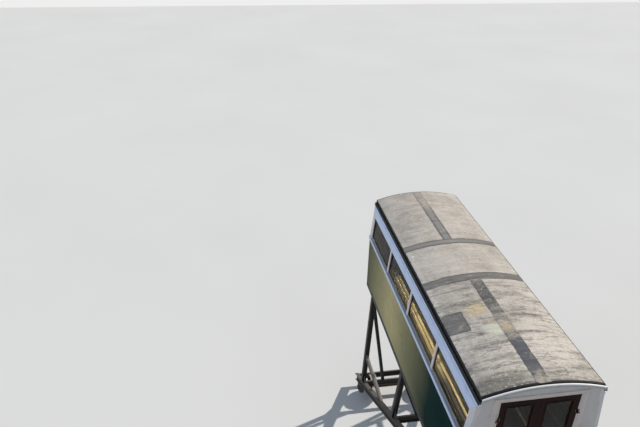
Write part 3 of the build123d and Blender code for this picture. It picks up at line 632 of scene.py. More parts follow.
# painted reflection: the olive colour below is blended into the green as a reflection, strongest
# in the middle of the car and mostly on the left side
painted_reflection = between(abs(along(place, "Y") - reflection_middle_y) + waves * 0.8, 2.7, 0.5)
reflection_share = between(along(place, "X"), 0.0, -0.01) * 0.78 + 0.08
side_tint = steps(dirt, (0.30, (0.62, 0.51, 0.23)), (0.70, (0.82, 0.65, 0.32)))
green = blended(painted_reflection * reflection_share, green, side_tint)
connect(
    green_gloss, colour=blended(soiled * 0.22, green, (0.10, 0.092, 0.058)),
    roughness=between(dirt + soiled, -1.0, 4.0), specular=0.004, normal=raised(waves, 0.006, 0.20),
)
dress(green_gloss, "side_panel_left", "side_panel_right")

# White joinery: window frames with the waist rail, fascias, end walls and cornices. Timber
# under several coats of white gloss, grey with grime in patches and down the runs. The faces
# that look into the saloon are varnished dark instead.
half_width = -panel_low.x
waist_z = panel_high.z
lean = radians(5.4)
uphill_face, downhill_face = panel_low.y, panel_high.y
middle_y = (uphill_face + downhill_face) / 2
window_sill, window_head = 3.333, 3.823
pane_depth = 0.0226
window_margin = 0.144  # from the windows to the end walls' faces
# The corners' colour is painted light: it marks where the painted bluish shade of the left side
# stops, up to a slanting line.
corner_head, corner_slope = 3.843, 1.23  # where the corners' colour ends, and how it climbs
corner_white = (0.76, 0.70, 0.67)
# the plain white that the right side takes; the bluish whites kept on the left are painted
# skylight shade
unshaded_white = (0.76, 0.75, 0.73)


def depth_in_sides(place):
    """How deep a place lies behind a side wall's outer face, which leans in above the waist."""
    above = larger(along(place, "Z") - waist_z, 0.0)
    return half_width - above * tan(lean) - abs(along(place, "X"))


def depth_in_ends(place):
    """How deep a place lies behind the outer face of the nearer end wall."""
    return (downhill_face - uphill_face) / 2 - abs(along(place, "Y") - middle_y)


def smaller(first, second):
    """The smaller of two values."""
    return sums("MINIMUM", first, second)


def white_gloss(name, clean, grey, posts=None, corners=None, side_tint=None, lined=False):
    """White paint with brush marks along the car, grime in patches and rain streaks. Posts
    between the windows may have a colour of their own, with the sill's faces that look up
    painted a dark navy shade. Corners of the car may take a colour that is painted light: it
    marks where a painted bluish shade stops, up to a slanting line. A side tint may cover the
    right side of the car, leaving the clean colour on the left. A lined one is varnished dark
    where it is deeper than the panes and than an end wall's face."""
    finish, place = start_finish(name)
    height = along(place, "Z")
    brushing = speckle(place, 90.0, detail=3.0, stretch=(1.0, 0.12, 1.0))
    grime = speckle(place, 4.0, detail=8.0, roughness=0.65)
    runs = speckle(place, 30.0, detail=4.0, stretch=(1.0, 1.0, 0.05))
    soiled = larger(between(grime, 0.50, 0.80) * 0.5, between(runs, 0.60, 0.82) * 0.3)
    if posts is not None:
        over_sill = between(height, window_sill, window_sill + 0.008)
        under_head = between(height, window_head + 0.003, window_head - 0.003)
        clean = blended(over_sill * under_head, clean, posts)
        # painted shade: the sill's faces that look up are painted a dark navy
        sill_shade = between(height, window_sill + 0.009, window_sill + 0.005)
        clean = blended(between(looks_up(place), 0.6, 0.8) * sill_shade, clean, (0.27, 0.31, 0.42))
    # painted light: the corners take their own colour where the painted bluish shade stops
    if corners is not None:
        past = depth_in_ends(place) - window_margin
        under_line = past * -corner_slope - (height - corner_head)
        corner = smaller(between(past, 0.0, -0.004), between(under_line, 0.0, 0.008))
        clean = blended(corner, clean, corners)
    # the right side takes the side tint, and the clean colour, a painted bluish shade on side
    # frames and fascias, stays on the left
    if side_tint is not None:
        clean = blended(between(along(place, "X"), 0.0, 0.01) * 0.8, clean, side_tint)
    painted = blended(soiled, clean, grey)
    if lined:
        behind = smaller(depth_in_sides(place) - pane_depth, depth_in_ends(place) - 0.010)
        timber = steps(brushing, (0.35, (0.030, 0.017, 0.011)), (0.65, (0.062, 0.034, 0.020)))
        ledge = between(looks_up(place), 0.5, 0.8)
        timber = blended(ledge, timber, (0.46, 0.37, 0.25))
        painted = blended(between(behind, 0.0, 0.002), painted, timber)
    return connect(
        finish, colour=painted, roughness=between(grime + soiled, -0.6, 2.2),
        normal=raised(brushing, 0.0004, 0.5),
    )


# The bluish clean whites of the side frames and fascias are a painted skylight shade on the left
# side; the right side takes the plain unshaded white.
side_white = white_gloss(
    "side_white", (0.66, 0.73, 0.88), (0.42, 0.45, 0.54), posts=(0.86, 0.71, 0.63),
    corners=corner_white, side_tint=unshaded_white, lined=True,
)
fascia_white = white_gloss(
    "fascia_white", (0.70, 0.77, 0.93), (0.46, 0.50, 0.60), corners=corner_white,
    side_tint=unshaded_white,
)
end_white = white_gloss("end_white", (0.65, 0.61, 0.59), (0.36, 0.345, 0.33), lined=True)
dress(side_white, "side_frame_left", "side_frame_right")
dress(fascia_white, "fascias")
dress(end_white, "end_wall_uphill", "end_wall_downhill")

# Glazing beads. A quarter-round bead holds each side pane against its rebate, mitred at the
# corners. The walls lean in above the waist, so the beads lie in that leaning plane.
sides = (("left", -1), ("right", 1))
window_width, bay_length = 1.27175, 1.33675
window_ys = middle_y + bay_length * (np.arange(4) - 1.5)
bead = [(0.0, 0.0), (0.013, 0.0), (0.0125, 0.004), (0.010, 0.008), (0.006, 0.0105), (0.0, 0.0115)]


def side_x(z):
    """Half width over the outer face of a side wall, which leans in above the waist."""
    return half_width - max(0.0, z - waist_z) * tan(lean)


def carried(path, profile, normal, closed=True):
    """A profile carried along corner points that lie in one plane, mitred at the corners.
    At a corner, the profile's first measure runs along the sum of the two runs' side
    directions over one plus their dot product. Its second runs along the plane's normal."""
    path, profile, normal = (np.asarray(v, float) for v in (path, profile, normal))
    run = np.roll(path, -1, axis=0) - path
    run /= np.linalg.norm(run, axis=1)[:, None]
    side = np.cross(normal, run)
    before = np.roll(side, 1, axis=0)
    if not closed:
        before[0] = side[0]
        side[-1] = before[-1]
    mitre = (side + before) / (1.0 + np.sum(side * before, axis=1))[:, None]
    points = (
        path[:, None] + profile[None, :, :1] * mitre[:, None] + profile[None, :, 1:] * normal
    ).reshape(-1, 3)
    corners, stations = len(profile), len(path)
    turn = -1 if goes_round(profile) else 1
    faces = bands(corners, stations, closed)[:, [0, 3, 2, 1]][:, ::turn].tolist()
    if not closed:
        ring = np.arange(corners)
        faces += [ring[::turn].tolist(), (ring + (stations - 1) * corners)[::-turn].tolist()]
    return points, faces


window_corners = ((1, window_sill), (1, window_head), (-1, window_head), (-1, window_sill))
bead_shells = []
for _, x_sign in sides:
    outward = np.array((x_sign * cos(lean), 0.0, sin(lean)))
    for y in window_ys:
        corners = [
            (x_sign * (side_x(z) - pane_depth), y + x_sign * way * window_width / 2, z)
            for way, z in window_corners
        ]
        bead_shells.append(carried(corners, bead, outward))
bead_varnish, place = start_finish("bead_varnish")
grime = speckle(place, 14.0, detail=5.0)
# the beads are paler along the sills
along_sill = between(along(place, "Z"), window_sill + 0.030, window_sill + 0.020)
aged_varnish = steps(grime, (0.35, (0.030, 0.026, 0.024)), (0.65, (0.065, 0.052, 0.044)))
sill_bead_colour = steps(grime, (0.35, (0.36, 0.32, 0.26)), (0.65, (0.56, 0.50, 0.41)))
connect(
    bead_varnish, colour=blended(along_sill, aged_varnish, sill_bead_colour),
    roughness=between(grime, -0.4, 1.6), specular=0.3,
)
lay_piece("glazing_beads", joined(*bead_shells), bead_varnish, "car", 50)

# Linings. Varnished matchboard stands upright behind the side panels, nailed to the framing,
# with a joint every 90 mm.
lining_finish = tongued(
    "varnished_matchboard", 0.090, "Y", (0.36, 0.19, 0.075), (0.15, 0.070, 0.028),
    (1.0, 1.0, 0.06), 0.35,
)
dress(lining_finish, "side_lining_left", "side_lining_right")


# Window glass. Clear sheet, a little dirty towards the edges, with a sharp reflection. It lets
# light through to the benches without a caustic.
def sheet_glass(name, tint, dirt_share, ior):
    """Clear glass with a film of dirt. Shadow rays pass straight through it."""
    finish, place = start_finish(name)
    tree = finish.node_tree
    film = between(speckle(place, 9.0, detail=6.0, roughness=0.7), 0.50, 0.90)
    specks = between(speckle(place, 160.0, detail=2.0), 0.66, 0.74)
    connect(
        finish, colour=blended(film, tint, toned(tint, 0.93)),
        roughness=larger(film, specks) * dirt_share, ior=ior, transmission_weight=1.0,
    )
    clear = node(tree, "BsdfTransparent", "BSDF", {"Color": (0.92, 0.94, 0.92, 1.0)})
    shadow = node(tree, "LightPath", "Is Shadow Ray")
    glass = Value(tree.nodes["Principled BSDF"].outputs["BSDF"])
    mixed = node(tree, "MixShader", "Shader", {0: shadow, 1: glass, 2: clear})
    tree.links.new(mixed.socket, tree.nodes["Material Output"].inputs["Surface"])
    return finish


leaves = [(end, y_sign, side, x_sign) for end, y_sign in ends for side, x_sign in sides]
window_glass = sheet_glass("window_glass", (0.88, 0.90, 0.86), 0.03, 1.07)
dress(window_glass, "side_glass_left", "side_glass_right")
# The door glass is tinted dark, a painted shade for the dark saloon behind it.
door_glass = sheet_glass("door_glass", (0.24, 0.25, 0.25), 0.03, 1.22)
dress(door_glass, *(f"door_glass_{end}_{side}" for end, _, side, _ in leaves))

# Doorways. A moulded timber architrave is planted round each doorway, mitred at its head and
# cut square at its feet, under the same paint as the end walls.
end_faces = {"uphill": uphill_face, "downhill": downhill_face}
door_head, door_foot = 4.030, 2.185
architrave_reveal, architrave_drop, architrave_x = 0.006, 0.040, 0.6055
architrave = [
    (0.0, 0.0), (0.070, 0.0), (0.070, 0.009), (0.064, 0.0135), (0.057, 0.0125),
    (0.052, 0.0095), (0.018, 0.0095), (0.012, 0.012), (0.005, 0.0105), (0.0, 0.006),
]
architrave_shells = []
for end, y_sign in ends:
    face, jamb = end_faces[end], y_sign * architrave_x
    head, foot = door_head + architrave_reveal, door_foot - architrave_drop
    corners = [(jamb, face, foot), (jamb, face, head), (-jamb, face, head), (-jamb, face, foot)]
    architrave_shells.append(carried(corners, architrave, y_sign * y_axis, closed=False))
architrave_paint = white_gloss("architrave_paint", (0.70, 0.62, 0.57), (0.45, 0.38, 0.34))
lay_piece("architraves", joined(*architrave_shells), architrave_paint, "car", 40)


# Doors. Framed in varnished hardwood gone very dark, each leaf with a glazed upper light and a
# sunk panel. Mouldings are planted round both, brass fittings are screwed on, and a narrow
# draught strip closes the gap between the leaves.
def varnished(name, light, dark, stretch, coat, gloss=0.15, painted_shade=None):
    """Timber under varnish: long grain one way, fine pores, and worn and dusty patches. It is
    painted dark, as painted shade, where the function for painted shade gives 1."""
    finish, place = start_finish(name)
    figure = speckle(place, 26.0, detail=8.0, roughness=0.6, stretch=stretch)
    pores = speckle(place, 260.0, detail=3.0, stretch=stretch)
    worn = between(speckle(place, 5.0, detail=6.0), 0.55, 0.85)
    timber = steps(figure, (0.35, dark), (0.65, light))
    timber = blended(worn * 0.35, timber, toned(light, 1.3))
    if painted_shade is not None:
        timber = blended(painted_shade(place), timber, (0.105, 0.080, 0.050))
    return connect(
        finish, colour=timber, roughness=between(figure + worn, -0.9, 2.2), specular=gloss,
        coat_weight=coat, coat_roughness=0.2, normal=raised(pores, 0.0004, 0.6),
    )


def around(x_range, z_range, y, x_sign, y_sign):
    """Corners of an upright rectangle in the order that turns a profile's side inward."""
    left, right = sorted(x_sign * x for x in x_range)
    low, high = z_range
    first, last = (left, right) if y_sign < 0 else (right, left)
    return [(first, y, low), (last, y, low), (last, y, high), (first, y, high)]


def turned(profile, centre, axis, segments=28):
    """A turned shape: each (distance, radius) pair of a profile makes a ring about an axis.
    The rings are joined in order, and the first and last are closed by a cap."""
    profile, centre, axis = (np.asarray(v, float) for v in (profile, centre, axis))
    across = np.cross(z_axis, axis)
    across /= np.linalg.norm(across)
    up = np.cross(axis, across)
    turn = np.linspace(0.0, 2 * pi, segments, endpoint=False)
    circle = np.cos(turn)[:, None] * across + np.sin(turn)[:, None] * up
    points = (
        centre + profile[:, None, :1] * axis + profile[:, None, 1:] * circle[None]
    ).reshape(-1, 3)
    ring = np.arange(segments)
    last = ring + (len(profile) - 1) * segments
    return points, bands(segments, len(profile)).tolist() + [ring[::-1].tolist(), last.tolist()]


def polished_brass(name, clean, tarnish):
    """Yellow brass, bright where hands rub it and brown with tarnish elsewhere."""
    finish, place = start_finish(name)
    patches = speckle(place, 60.0, detail=6.0, roughness=0.65)
    return connect(
        finish, colour=steps(patches, (0.38, clean), (0.66, tarnish)), metallic=1.0,
        roughness=between(patches, 0.05, 1.1), normal=raised(speckle(place, 400.0), 0.0002, 0.5),
    )


door_varnish = varnished(
    "door_varnish", (0.026, 0.0095, 0.0075), (0.012, 0.0046, 0.0038), (1.0, 1.0, 0.06), 0.01,
    gloss=0.045,
)
dress(door_varnish, *(f"door_{end}_{side}" for end, _, side, _ in leaves))
brass = polished_brass("brass", (0.76, 0.55, 0.25), (0.30, 0.19, 0.085))
light_bead = [
    (0.0, 0.0), (0.012, 0.0), (0.0115, 0.004), (0.0085, 0.0085), (0.004, 0.0115), (0.0, 0.012)
]
raised_moulding = [
    (-0.022, 0.0), (0.0, 0.0), (0.0, 0.0065), (-0.004, 0.0085), (-0.010, 0.0065), (-0.018, 0.0045),
    (-0.022, 0.0020),
]
field_moulding = [
    (0.0, 0.0), (0.018, 0.0), (0.016, 0.003), (0.009, 0.0045), (0.006, 0.0075), (0.0, 0.009)
]
meeting_strip = [(0.0, 0.0), (0.0026, 0.001), (0.0026, 0.009), (0.0, 0.010)]
knob = [
    (0.0, 0.0240), (0.0035, 0.0240), (0.0050, 0.0215), (0.0055, 0.0120), (0.0090, 0.0085),
    (0.0200, 0.0080), (0.0250, 0.0110), (0.0285, 0.0185), (0.0340, 0.0238), (0.0400, 0.0250),
    (0.0450, 0.0225), (0.0482, 0.0160), (0.0492, 0.0060),
]
escutcheon = [
    (0.0, 0.0155), (0.0018, 0.0155), (0.0026, 0.0140), (0.0028, 0.0050), (0.0012, 0.0045)
]
light = ((0.098, 0.474), (3.201, 3.924))
field = ((0.098, 0.474), (2.381, 3.091))
leaf_thickness, leaf_edge, leaf_gap = 0.036, 0.003, 0.006
light_rebate, field_sink, strip_depth = 0.0182, 0.009, 0.001
leaf_mouldings = (
    # opening, depth behind the leaf's face, 1 outside or -1 inside, profile
    (light, light_rebate, 1, light_bead),
    (light, 0.0, 1, raised_moulding),
    (field, field_sink, 1, field_moulding),
    (field, 0.0, 1, raised_moulding),
    (field, leaf_thickness - field_sink, -1, field_moulding),
)
knob_x, knob_z, keyhole_drop = 0.050, 3.146, 0.075
leaf_foot, leaf_head = door_foot + leaf_gap, door_head - leaf_gap
hinge_heights = (0.300, 1.500)
flap_x, flap_thickness, flap_screws = 0.549, 0.003, (0.012, 0.030, 0.048)
for end, y_sign, side, x_sign in leaves:
    face = end_faces[end]
    normal = y_sign * y_axis
    shells = [
        carried(
            around(*opening, face - y_sign * depth, x_sign, way * y_sign), profile, way * normal
        )
        for opening, depth, way, profile in leaf_mouldings
    ]
    edge = np.array((x_sign * leaf_edge, face - y_sign * strip_depth, 0.0))
    foot, head = edge + leaf_foot * z_axis, edge + leaf_head * z_axis
    shells.append(bars(meeting_strip, foot, head, -x_sign * x_axis, -normal))
    body = f"{end}_{side}_door"
    lay_piece(f"door_mouldings_{end}_{side}", joined(*shells), door_varnish, body, 50)
    foot, up = grid(hinge_heights, flap_screws)
    screws = spots_at(x_sign * flap_x, face + y_sign * flap_thickness, leaf_foot + foot + up)
    fittings = [domes(0.0042, 0.0012, screws, normal, rings=2, segments=10)]
    if x_sign > 0:
        out = np.array((knob_x, face, knob_z))
        back = out - leaf_thickness * normal
        for profile, lower in ((knob, 0.0), (escutcheon, keyhole_drop)):
            fittings.append(turned(profile, out - lower * z_axis, normal))
            fittings.append(turned(profile, back - lower * z_axis, -normal))
    lay_piece(f"door_fittings_{end}_{side}", joined(*fittings), brass, body, 40)

# Hinges. Each leaf lifts off two pins, whose cast brass blocks are held to the end wall by a
# hexagon bolt each.
dress(
    polished_brass("hinge_brass", (0.20, 0.14, 0.075), (0.060, 0.042, 0.027)),
    "door_hinges_uphill", "door_hinges_downhill",
)
block_depth, block_bolt_x, block_bolt_drop = 0.019, 0.591, 0.0081
x_sign, y_sign, z = grid((-1, 1), (-1, 1), hinge_heights)
block_face = np.where(y_sign < 0, uphill_face - block_depth, downhill_face + block_depth)
block_bolts = spots_at(x_sign * block_bolt_x, block_face, leaf_foot + z - block_bolt_drop)
bolt_ends = block_bolts + 0.004 * y_sign[:, None] * y_axis
lay_piece(
    "hinge_bolts", bars(hexagon(0.0052), block_bolts, bolt_ends, x_axis, z_axis),
    brass, "car",
)

# Roof covering. Mineral felt lies over the boarded roof in three lengths, creased across the
# car, greyed with dirt, stained ochre in one place and spotted with lichen.
roof_low, roof_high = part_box("roof")
roof_half, roof_crown, roof_edge_z = roof_high.x, roof_high.z, 4.164
roof_rise = roof_crown - roof_edge_z
roof_radius = (roof_half ** 2 + roof_rise ** 2) / (2 * roof_rise)
roof_centre_z = roof_crown - roof_radius
roof_arc = roof_radius * np.arcsin(roof_half / roof_radius)
felt_start, felt_end = roof_low.y + 0.0005, roof_high.y - 0.0005
felt_thickness = 0.0022
chance = np.random.default_rng(7)
crease_along = chance.uniform(2.2, 8.5, 9)
crease_across = chance.uniform(-0.9, 0.9, 9)
crease_start = chance.uniform(0.0, 2 * pi, 9)


def arched(radius, y, angle):
    """Points round the roof's axis: the radius times the sine of the angle from upright goes
    across the car, and the radius times its cosine goes up."""
    return spots_at(radius * np.sin(angle), y, roof_centre_z + radius * np.cos(angle))


def on_roof(y, across, lift):
    """Points above the roof's arc. The angle is the distance across over the radius, and the
    lift is added to the radius."""
    return arched(roof_radius + lift, y, across / roof_radius)


def creases(y, across):
    """How far the felt lifts off the boards: the fourth powers of nine waves, which leave
    narrow ridges, added up and let in and out by two slow waves."""
    y, across = np.broadcast_arrays(y, across)
    turns = y[..., None] * crease_along + across[..., None] * crease_across
    wave = 2 * pi * turns + crease_start
    ridges = np.mean((0.5 + 0.5 * np.sin(wave)) ** 4, axis=-1)
    slow = 0.6 + 0.25 * np.sin(1.9 * y + 1.1) + 0.15 * np.sin(4.3 * across + 0.7 * y)
    return 0.0062 * ridges * slow


def turned_down(across):
    """How far the felt bends down towards the eaves: 3.5 mm over the last 24 mm."""
    return 0.0035 * np.clip((np.abs(across) - roof_arc + 0.020) / 0.024, 0.0, 1.0)


def slab(top, bottom):
    """A closed sheet between two grids of points. The first index runs downhill, the second
    to the right, and the rim is joined all round."""
    rows, columns = top.shape[:2]
    count = rows * columns
    index = np.arange(count).reshape(rows, columns)
    upper = np.stack(
        (index[:-1, :-1], index[:-1, 1:], index[1:, 1:], index[1:, :-1]), axis=-1
    ).reshape(-1, 4)
    rim = np.concatenate((index[0], index[1:, -1], index[-1, -2::-1], index[-2:0:-1, 0]))
    after = np.roll(rim, -1)
    walls = np.stack((rim + count, after + count, after, rim), axis=1)
    faces = np.concatenate((upper, upper[:, ::-1] + count, walls))
    return np.concatenate((top.reshape(-1, 3), bottom.reshape(-1, 3))), faces.tolist()


def spot_mask(place, centre, reach, rag):
    """1 near a spot on the roof and 0 past its reach, with a ragged border. The distance is
    measured in parts of the reach across and along, and noise is added to it."""
    distance = far_from((*centre, 0.0), place, (1 / reach[0], 1 / reach[1], 0.0))
    noise = speckle(place, 9.0, detail=8.0, roughness=0.7)
    return between(distance + noise * rag, 1.0 + 0.5 * rag, 0.45 + 0.5 * rag)


def layered(colour, *layers):
    """A colour under further layers, each a share and a colour, the last on top."""
    for share, layer in layers:
        colour = blended(share, colour, layer)
    return colour


def stains(place, *rows):
    """Layers for stains on the roof, each from a row of centre and reach across and along,
    raggedness, share and colour."""
    return [
        (spot_mask(place, centre, reach, rag) * share, stain)
        for centre, reach, rag, share, stain in rows
    ]


def cross_grain(place):
    """Noise drawn out across the car, for creases in felt."""
    return speckle(place, 12.0, detail=5.0, roughness=0.58, stretch=(0.17, 1.0, 0.17))


felt_finish, place = start_finish("roof_felt")
grains = speckle(place, 420.0, detail=2.0)
blotches = speckle(place, 2.2, detail=9.0, roughness=0.70)
pits = speckle(place, 46.0, detail=4.0, roughness=0.7, stretch=(0.45, 1.0, 0.45))
folds = speckle(place, 5.5, detail=3.0, roughness=0.5, stretch=(0.20, 1.0, 0.20)) - 0.5
long_runs = speckle(place, 9.0, detail=5.0, stretch=(1.0, 0.14, 1.0))
mottle = speckle(place, 19.0, detail=9.0, roughness=0.82, stretch=(0.7, 1.0, 0.7))
lichen = between(speckle(place, 26.0, detail=1.0), 0.715, 0.745)
cross_creases = cross_grain(place)
y = along(place, "Y")
toward_uphill = between(y, -0.6, -1.5)
near_dirt = between(y, -0.3, -2.8) * between(blotches, 0.62, 0.36)
lap_line = between(abs(folds * 0.16 + y + 1.112), 0.018, 0.006)
mottled = toward_uphill * 0.34 + 0.16
bare_felt = steps(
    blotches, (0.34, (0.43, 0.385, 0.335)), (0.50, (0.58, 0.520, 0.455)),
    (0.66, (0.68, 0.615, 0.545)),
)
colour = layered(
    bare_felt,
    (near_dirt * 0.26, (0.275, 0.260, 0.225)),
    *stains(
        place,
        # bleached by the sun, but the long one along the left eave is a painted highlight on the
        # slope turned away from the sun
        ((-0.45, -0.20), (0.50, 0.50), 0.8, 0.50, (0.76, 0.685, 0.610)),
        ((-0.85, -1.10), (0.10, 2.60), 0.5, 0.60, (0.84, 0.770, 0.690)),
        ((0.05, -2.75), (0.75, 0.42), 0.9, 0.75, (0.76, 0.685, 0.600)),
        ((0.55, -2.30), (0.50, 0.60), 0.9, 0.55, (0.76, 0.685, 0.600)),
        # mossy
        ((-0.55, -3.14), (0.55, 0.20), 1.2, 0.70, (0.185, 0.172, 0.132)),
        ((-0.30, -3.05), (0.22, 0.10), 1.2, 0.40, (0.230, 0.240, 0.150)),
        # narrow dark bands across the roof
        ((-0.42, -2.43), (0.46, 0.055), 0.9, 0.75, (0.150, 0.145, 0.142)),
        ((0.45, -1.86), (0.42, 0.030), 0.9, 0.70, (0.150, 0.145, 0.140)),
        ((0.28, -2.26), (0.34, 0.030), 0.9, 0.70, (0.150, 0.145, 0.140)),
        ((-0.20, -3.24), (0.80, 0.045), 0.8, 0.75, (0.110, 0.108, 0.108)),
        # rusty
        ((-0.31, -1.66), (0.24, 0.21), 1.3, 0.70, (0.760, 0.585, 0.310)),
        ((-0.02, -2.12), (0.11, 0.12), 1.3, 0.60, (0.640, 0.470, 0.250)),
        ((-0.182, -2.003), (0.055, 0.050), 0.7, 0.75, (0.620, 0.350, 0.160)),
    ),
    # painted shade and shadow: the dark lines in the creases and folds, stronger towards the
    # uphill end, are painted crease shade and painted branch shadows, with some crease dirt
    (between(cross_creases, 0.48, 0.38) * (toward_uphill * 0.46 + 0.12), (0.150, 0.142, 0.135)),
    (between(abs(folds), 0.016, 0.004) * (toward_uphill * 0.45 + 0.12), (0.105, 0.100, 0.096)),
    (lap_line * 0.65, (0.110, 0.106, 0.102)),
    # a painted highlight along the creases' crests
    (between(cross_creases, 0.55, 0.68) * 0.45, (0.78, 0.725, 0.655)),
    (between(long_runs, 0.62, 0.80) * 0.22, (0.24, 0.225, 0.205)),
    (between(mottle, 0.47, 0.36) * mottled, (0.20, 0.175, 0.150)),
    (between(mottle, 0.53, 0.64) * mottled, (0.90, 0.830, 0.745)),
    (between(pits, 0.44, 0.30) * (toward_uphill * 0.25 + 0.50), (0.16, 0.15, 0.14)),
    (between(pits, 0.57, 0.70) * 0.55, (0.84, 0.79, 0.72)),
    (lichen * 0.8, (0.84, 0.83, 0.78)),
    *stains(
        place,
        # limed, and four round patches of lichen
        ((-0.20, -2.15), (0.24, 0.19), 1.1, 0.62, (0.860, 0.860, 0.700)),
        ((0.27, -2.12), (0.26, 0.11), 1.2, 0.32, (0.720, 0.700, 0.580)),
        ((-0.78, 0.028), (0.035, 0.034), 0.5, 0.95, (0.860, 0.900, 0.840)),
        ((-0.80, -0.060), (0.026, 0.024), 0.5, 0.80, (0.840, 0.880, 0.800)),
        ((-0.546, -2.076), (0.026, 0.026), 0.4, 0.95, (0.900, 0.900, 0.860)),
    ),
    (between(grains, 0.30, 0.70) * 0.14, (0.16, 0.15, 0.14)),
    (between(y, felt_start + 0.030, felt_start + 0.018), (0.008, 0.008, 0.009)),
)
connect(
    felt_finish, colour=colour, roughness=between(grains, -2.0, 1.15), specular=0.25,
    normal=raised(grains, 0.0010, 0.6, over=raised(cross_creases, 0.026, 0.70)),
)
dress(felt_finish, "roof")
rows = np.linspace(felt_start, felt_end, 230)[:, None]
columns = np.linspace(-roof_arc - 0.004, roof_arc + 0.004, 61)[None]
fall = turned_down(columns)
felt_top = on_roof(rows, columns, felt_thickness + creases(rows, columns) - fall)
felt_bottom = on_roof(rows, columns, 0.0003 - fall)
lay_piece("felt_cover", slab(felt_top, felt_bottom), felt_finish, "car", 60)

# Seam strips and patch. Strips of bitumen felt are bedded over the joints and down the middle,
# and a patch near the left eave. Their edges wander, and the middle strips are worn through.
first_seam_y, second_seam_y = 0.285, -0.838
strip_rows = (
    # start and end along Y, start and end across, shift of the right end along Y, wear
    (first_seam_y - 0.082, first_seam_y + 0.082, -roof_arc, roof_arc, -0.015, 0.10),
    (second_seam_y - 0.094, second_seam_y + 0.094, -roof_arc, roof_arc, 0.040, 0.25),
    (first_seam_y + 0.080, felt_end - 0.004, -0.115, 0.058, 0.0, 0.10),
    (felt_start + 0.004, second_seam_y - 0.088, -0.120, 0.080, 0.0, 0.85),
    (-2.085, -1.635, -roof_arc + 0.012, -roof_arc + 0.345, -0.020, 0.35),
)


def wander(measure):
    """A wandering edge: three waves of chance start along a measure in metres."""
    waves = zip((9.0, 23.0, 61.0), chance.uniform(0.0, 2 * pi, 3))
    return 0.004 * sum(np.sin(rate * measure + start) for rate, start in waves) / 1.8


strip_shells, edge_distances, wear_shares = [], [], []
for y_start, y_end, a_start, a_end, skew, wear in strip_rows:
    length, width = y_end - y_start, a_end - a_start
    share_along = np.linspace(0.0, 1.0, max(13, int(length / 0.03)))[:, None]
    share_across = np.linspace(0.0, 1.0, max(13, int(width / 0.03)))[None]
    low, high = (
        y + skew * (share_across - 0.5) + wander(share_across * width) for y in (y_start, y_end)
    )
    left, right = (a + wander(share_along * length) for a in (a_start, a_end))
    strip_y = np.clip(low + (high - low) * share_along, felt_start, felt_end)
    strip_a = np.clip(left + (right - left) * share_across, -roof_arc, roof_arc)
    lift = felt_thickness + creases(strip_y, strip_a)
    top = on_roof(strip_y, strip_a, lift + 0.0038)
    strip_shells.append(slab(top, on_roof(strip_y, strip_a, lift - 0.0015)))
    along_edge, across_edge = np.broadcast_arrays(
        np.minimum(share_along, 1 - share_along) * length,
        np.minimum(share_across, 1 - share_across) * width,
    )
    if width > 1.0:
        edge = along_edge
    elif length > 1.0:
        edge = across_edge
    else:
        edge = np.minimum(along_edge, across_edge)
    edge_distances.append(np.tile(edge.ravel(), 2))
    wear_shares.append(np.full(2 * edge.size, wear))

bitumen, place = start_finish("seam_bitumen")
edge = node(place.tree, "Attribute", "Fac", attribute_name="edge_distance")
wear = node(place.tree, "Attribute", "Fac", attribute_name="wear")
grains = speckle(place, 420.0, detail=2.0)
patches = speckle(place, 3.4, detail=9.0, roughness=0.72)
torn = speckle(place, 11.0, detail=6.0, roughness=0.68, stretch=(0.45, 1.0, 0.45))
grit = speckle(place, 26.0, detail=8.0, roughness=0.80, stretch=(0.6, 1.0, 0.6))
cross_creases = cross_grain(place)
across, y = along(place, "X"), along(place, "Y")
sound = spot_mask(place, (-0.02, -1.32), (0.45, 0.46), 0.4)
frayed = (patches - 0.50) * (wear * 0.42) - edge
worn = torn + wear * 0.20 + cross_creases * 0.25
worn = larger(between(worn, 0.74, 0.86), between(frayed, 0.000, 0.012)) * (1.0 - sound * 0.55)
for centre, reach in (((-0.02, -2.10), (0.20, 0.30)), ((-0.03, 2.15), (0.35, 0.75))):
    worn = larger(worn, spot_mask(place, centre, reach, 1.0) * 0.75)
gritty = between(wear, 0.05, 0.80) * 0.75
blue_dark = between(y, -2.3, -2.5) * between(y, -3.20, -2.90) * between(patches, 0.64, 0.50)
colour = layered(
    steps(patches, (0.36, (0.140, 0.138, 0.135)), (0.64, (0.215, 0.206, 0.194))),
    (between(wear, 0.30, 0.10), (0.285, 0.270, 0.252)),
    (between(edge, 0.044, 0.020) * 0.62, (0.100, 0.100, 0.104)),
    # painted shade: the dark lines in the creases, with some crease dirt
    (between(cross_creases, 0.48, 0.38) * 0.35, (0.07, 0.07, 0.072)),
    (worn * 0.88, steps(patches, (0.40, (0.36, 0.320, 0.270)), (0.62, (0.60, 0.540, 0.460)))),
    (spot_mask(place, (-0.02, -2.12), (0.11, 0.12), 1.3) * 0.55, (0.64, 0.47, 0.25)),
    (sound * 0.72, (0.076, 0.076, 0.080)),
    (between(across, 0.0, 0.80) * 0.62, (0.115, 0.108, 0.100)),
    (between(across, -0.35, -0.85) * 0.30, (0.30, 0.285, 0.265)),
    (between(grit, 0.53, 0.64) * gritty, (0.52, 0.475, 0.40)),
    (between(grit, 0.47, 0.38) * gritty, (0.060, 0.058, 0.060)),
    (blue_dark * 0.90, (0.074, 0.079, 0.100)),
)
connect(
    bitumen, colour=colour, roughness=between(patches, -1.2, 1.1), specular=0.3,
    normal=raised(grains, 0.0012, 0.6, over=raised(cross_creases, 0.020, 0.6)),
)
dress(bitumen, "felt_strips")
strips = lay_piece("felt_strips_laid", joined(*strip_shells), bitumen, "car", 60)
for name, values in (("edge_distance", edge_distances), ("wear", wear_shares)):
    attribute = strips.data.attributes.new(name, "FLOAT", "POINT")
    attribute.data.foreach_set("value", np.concatenate(values))
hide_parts("felt_strips")

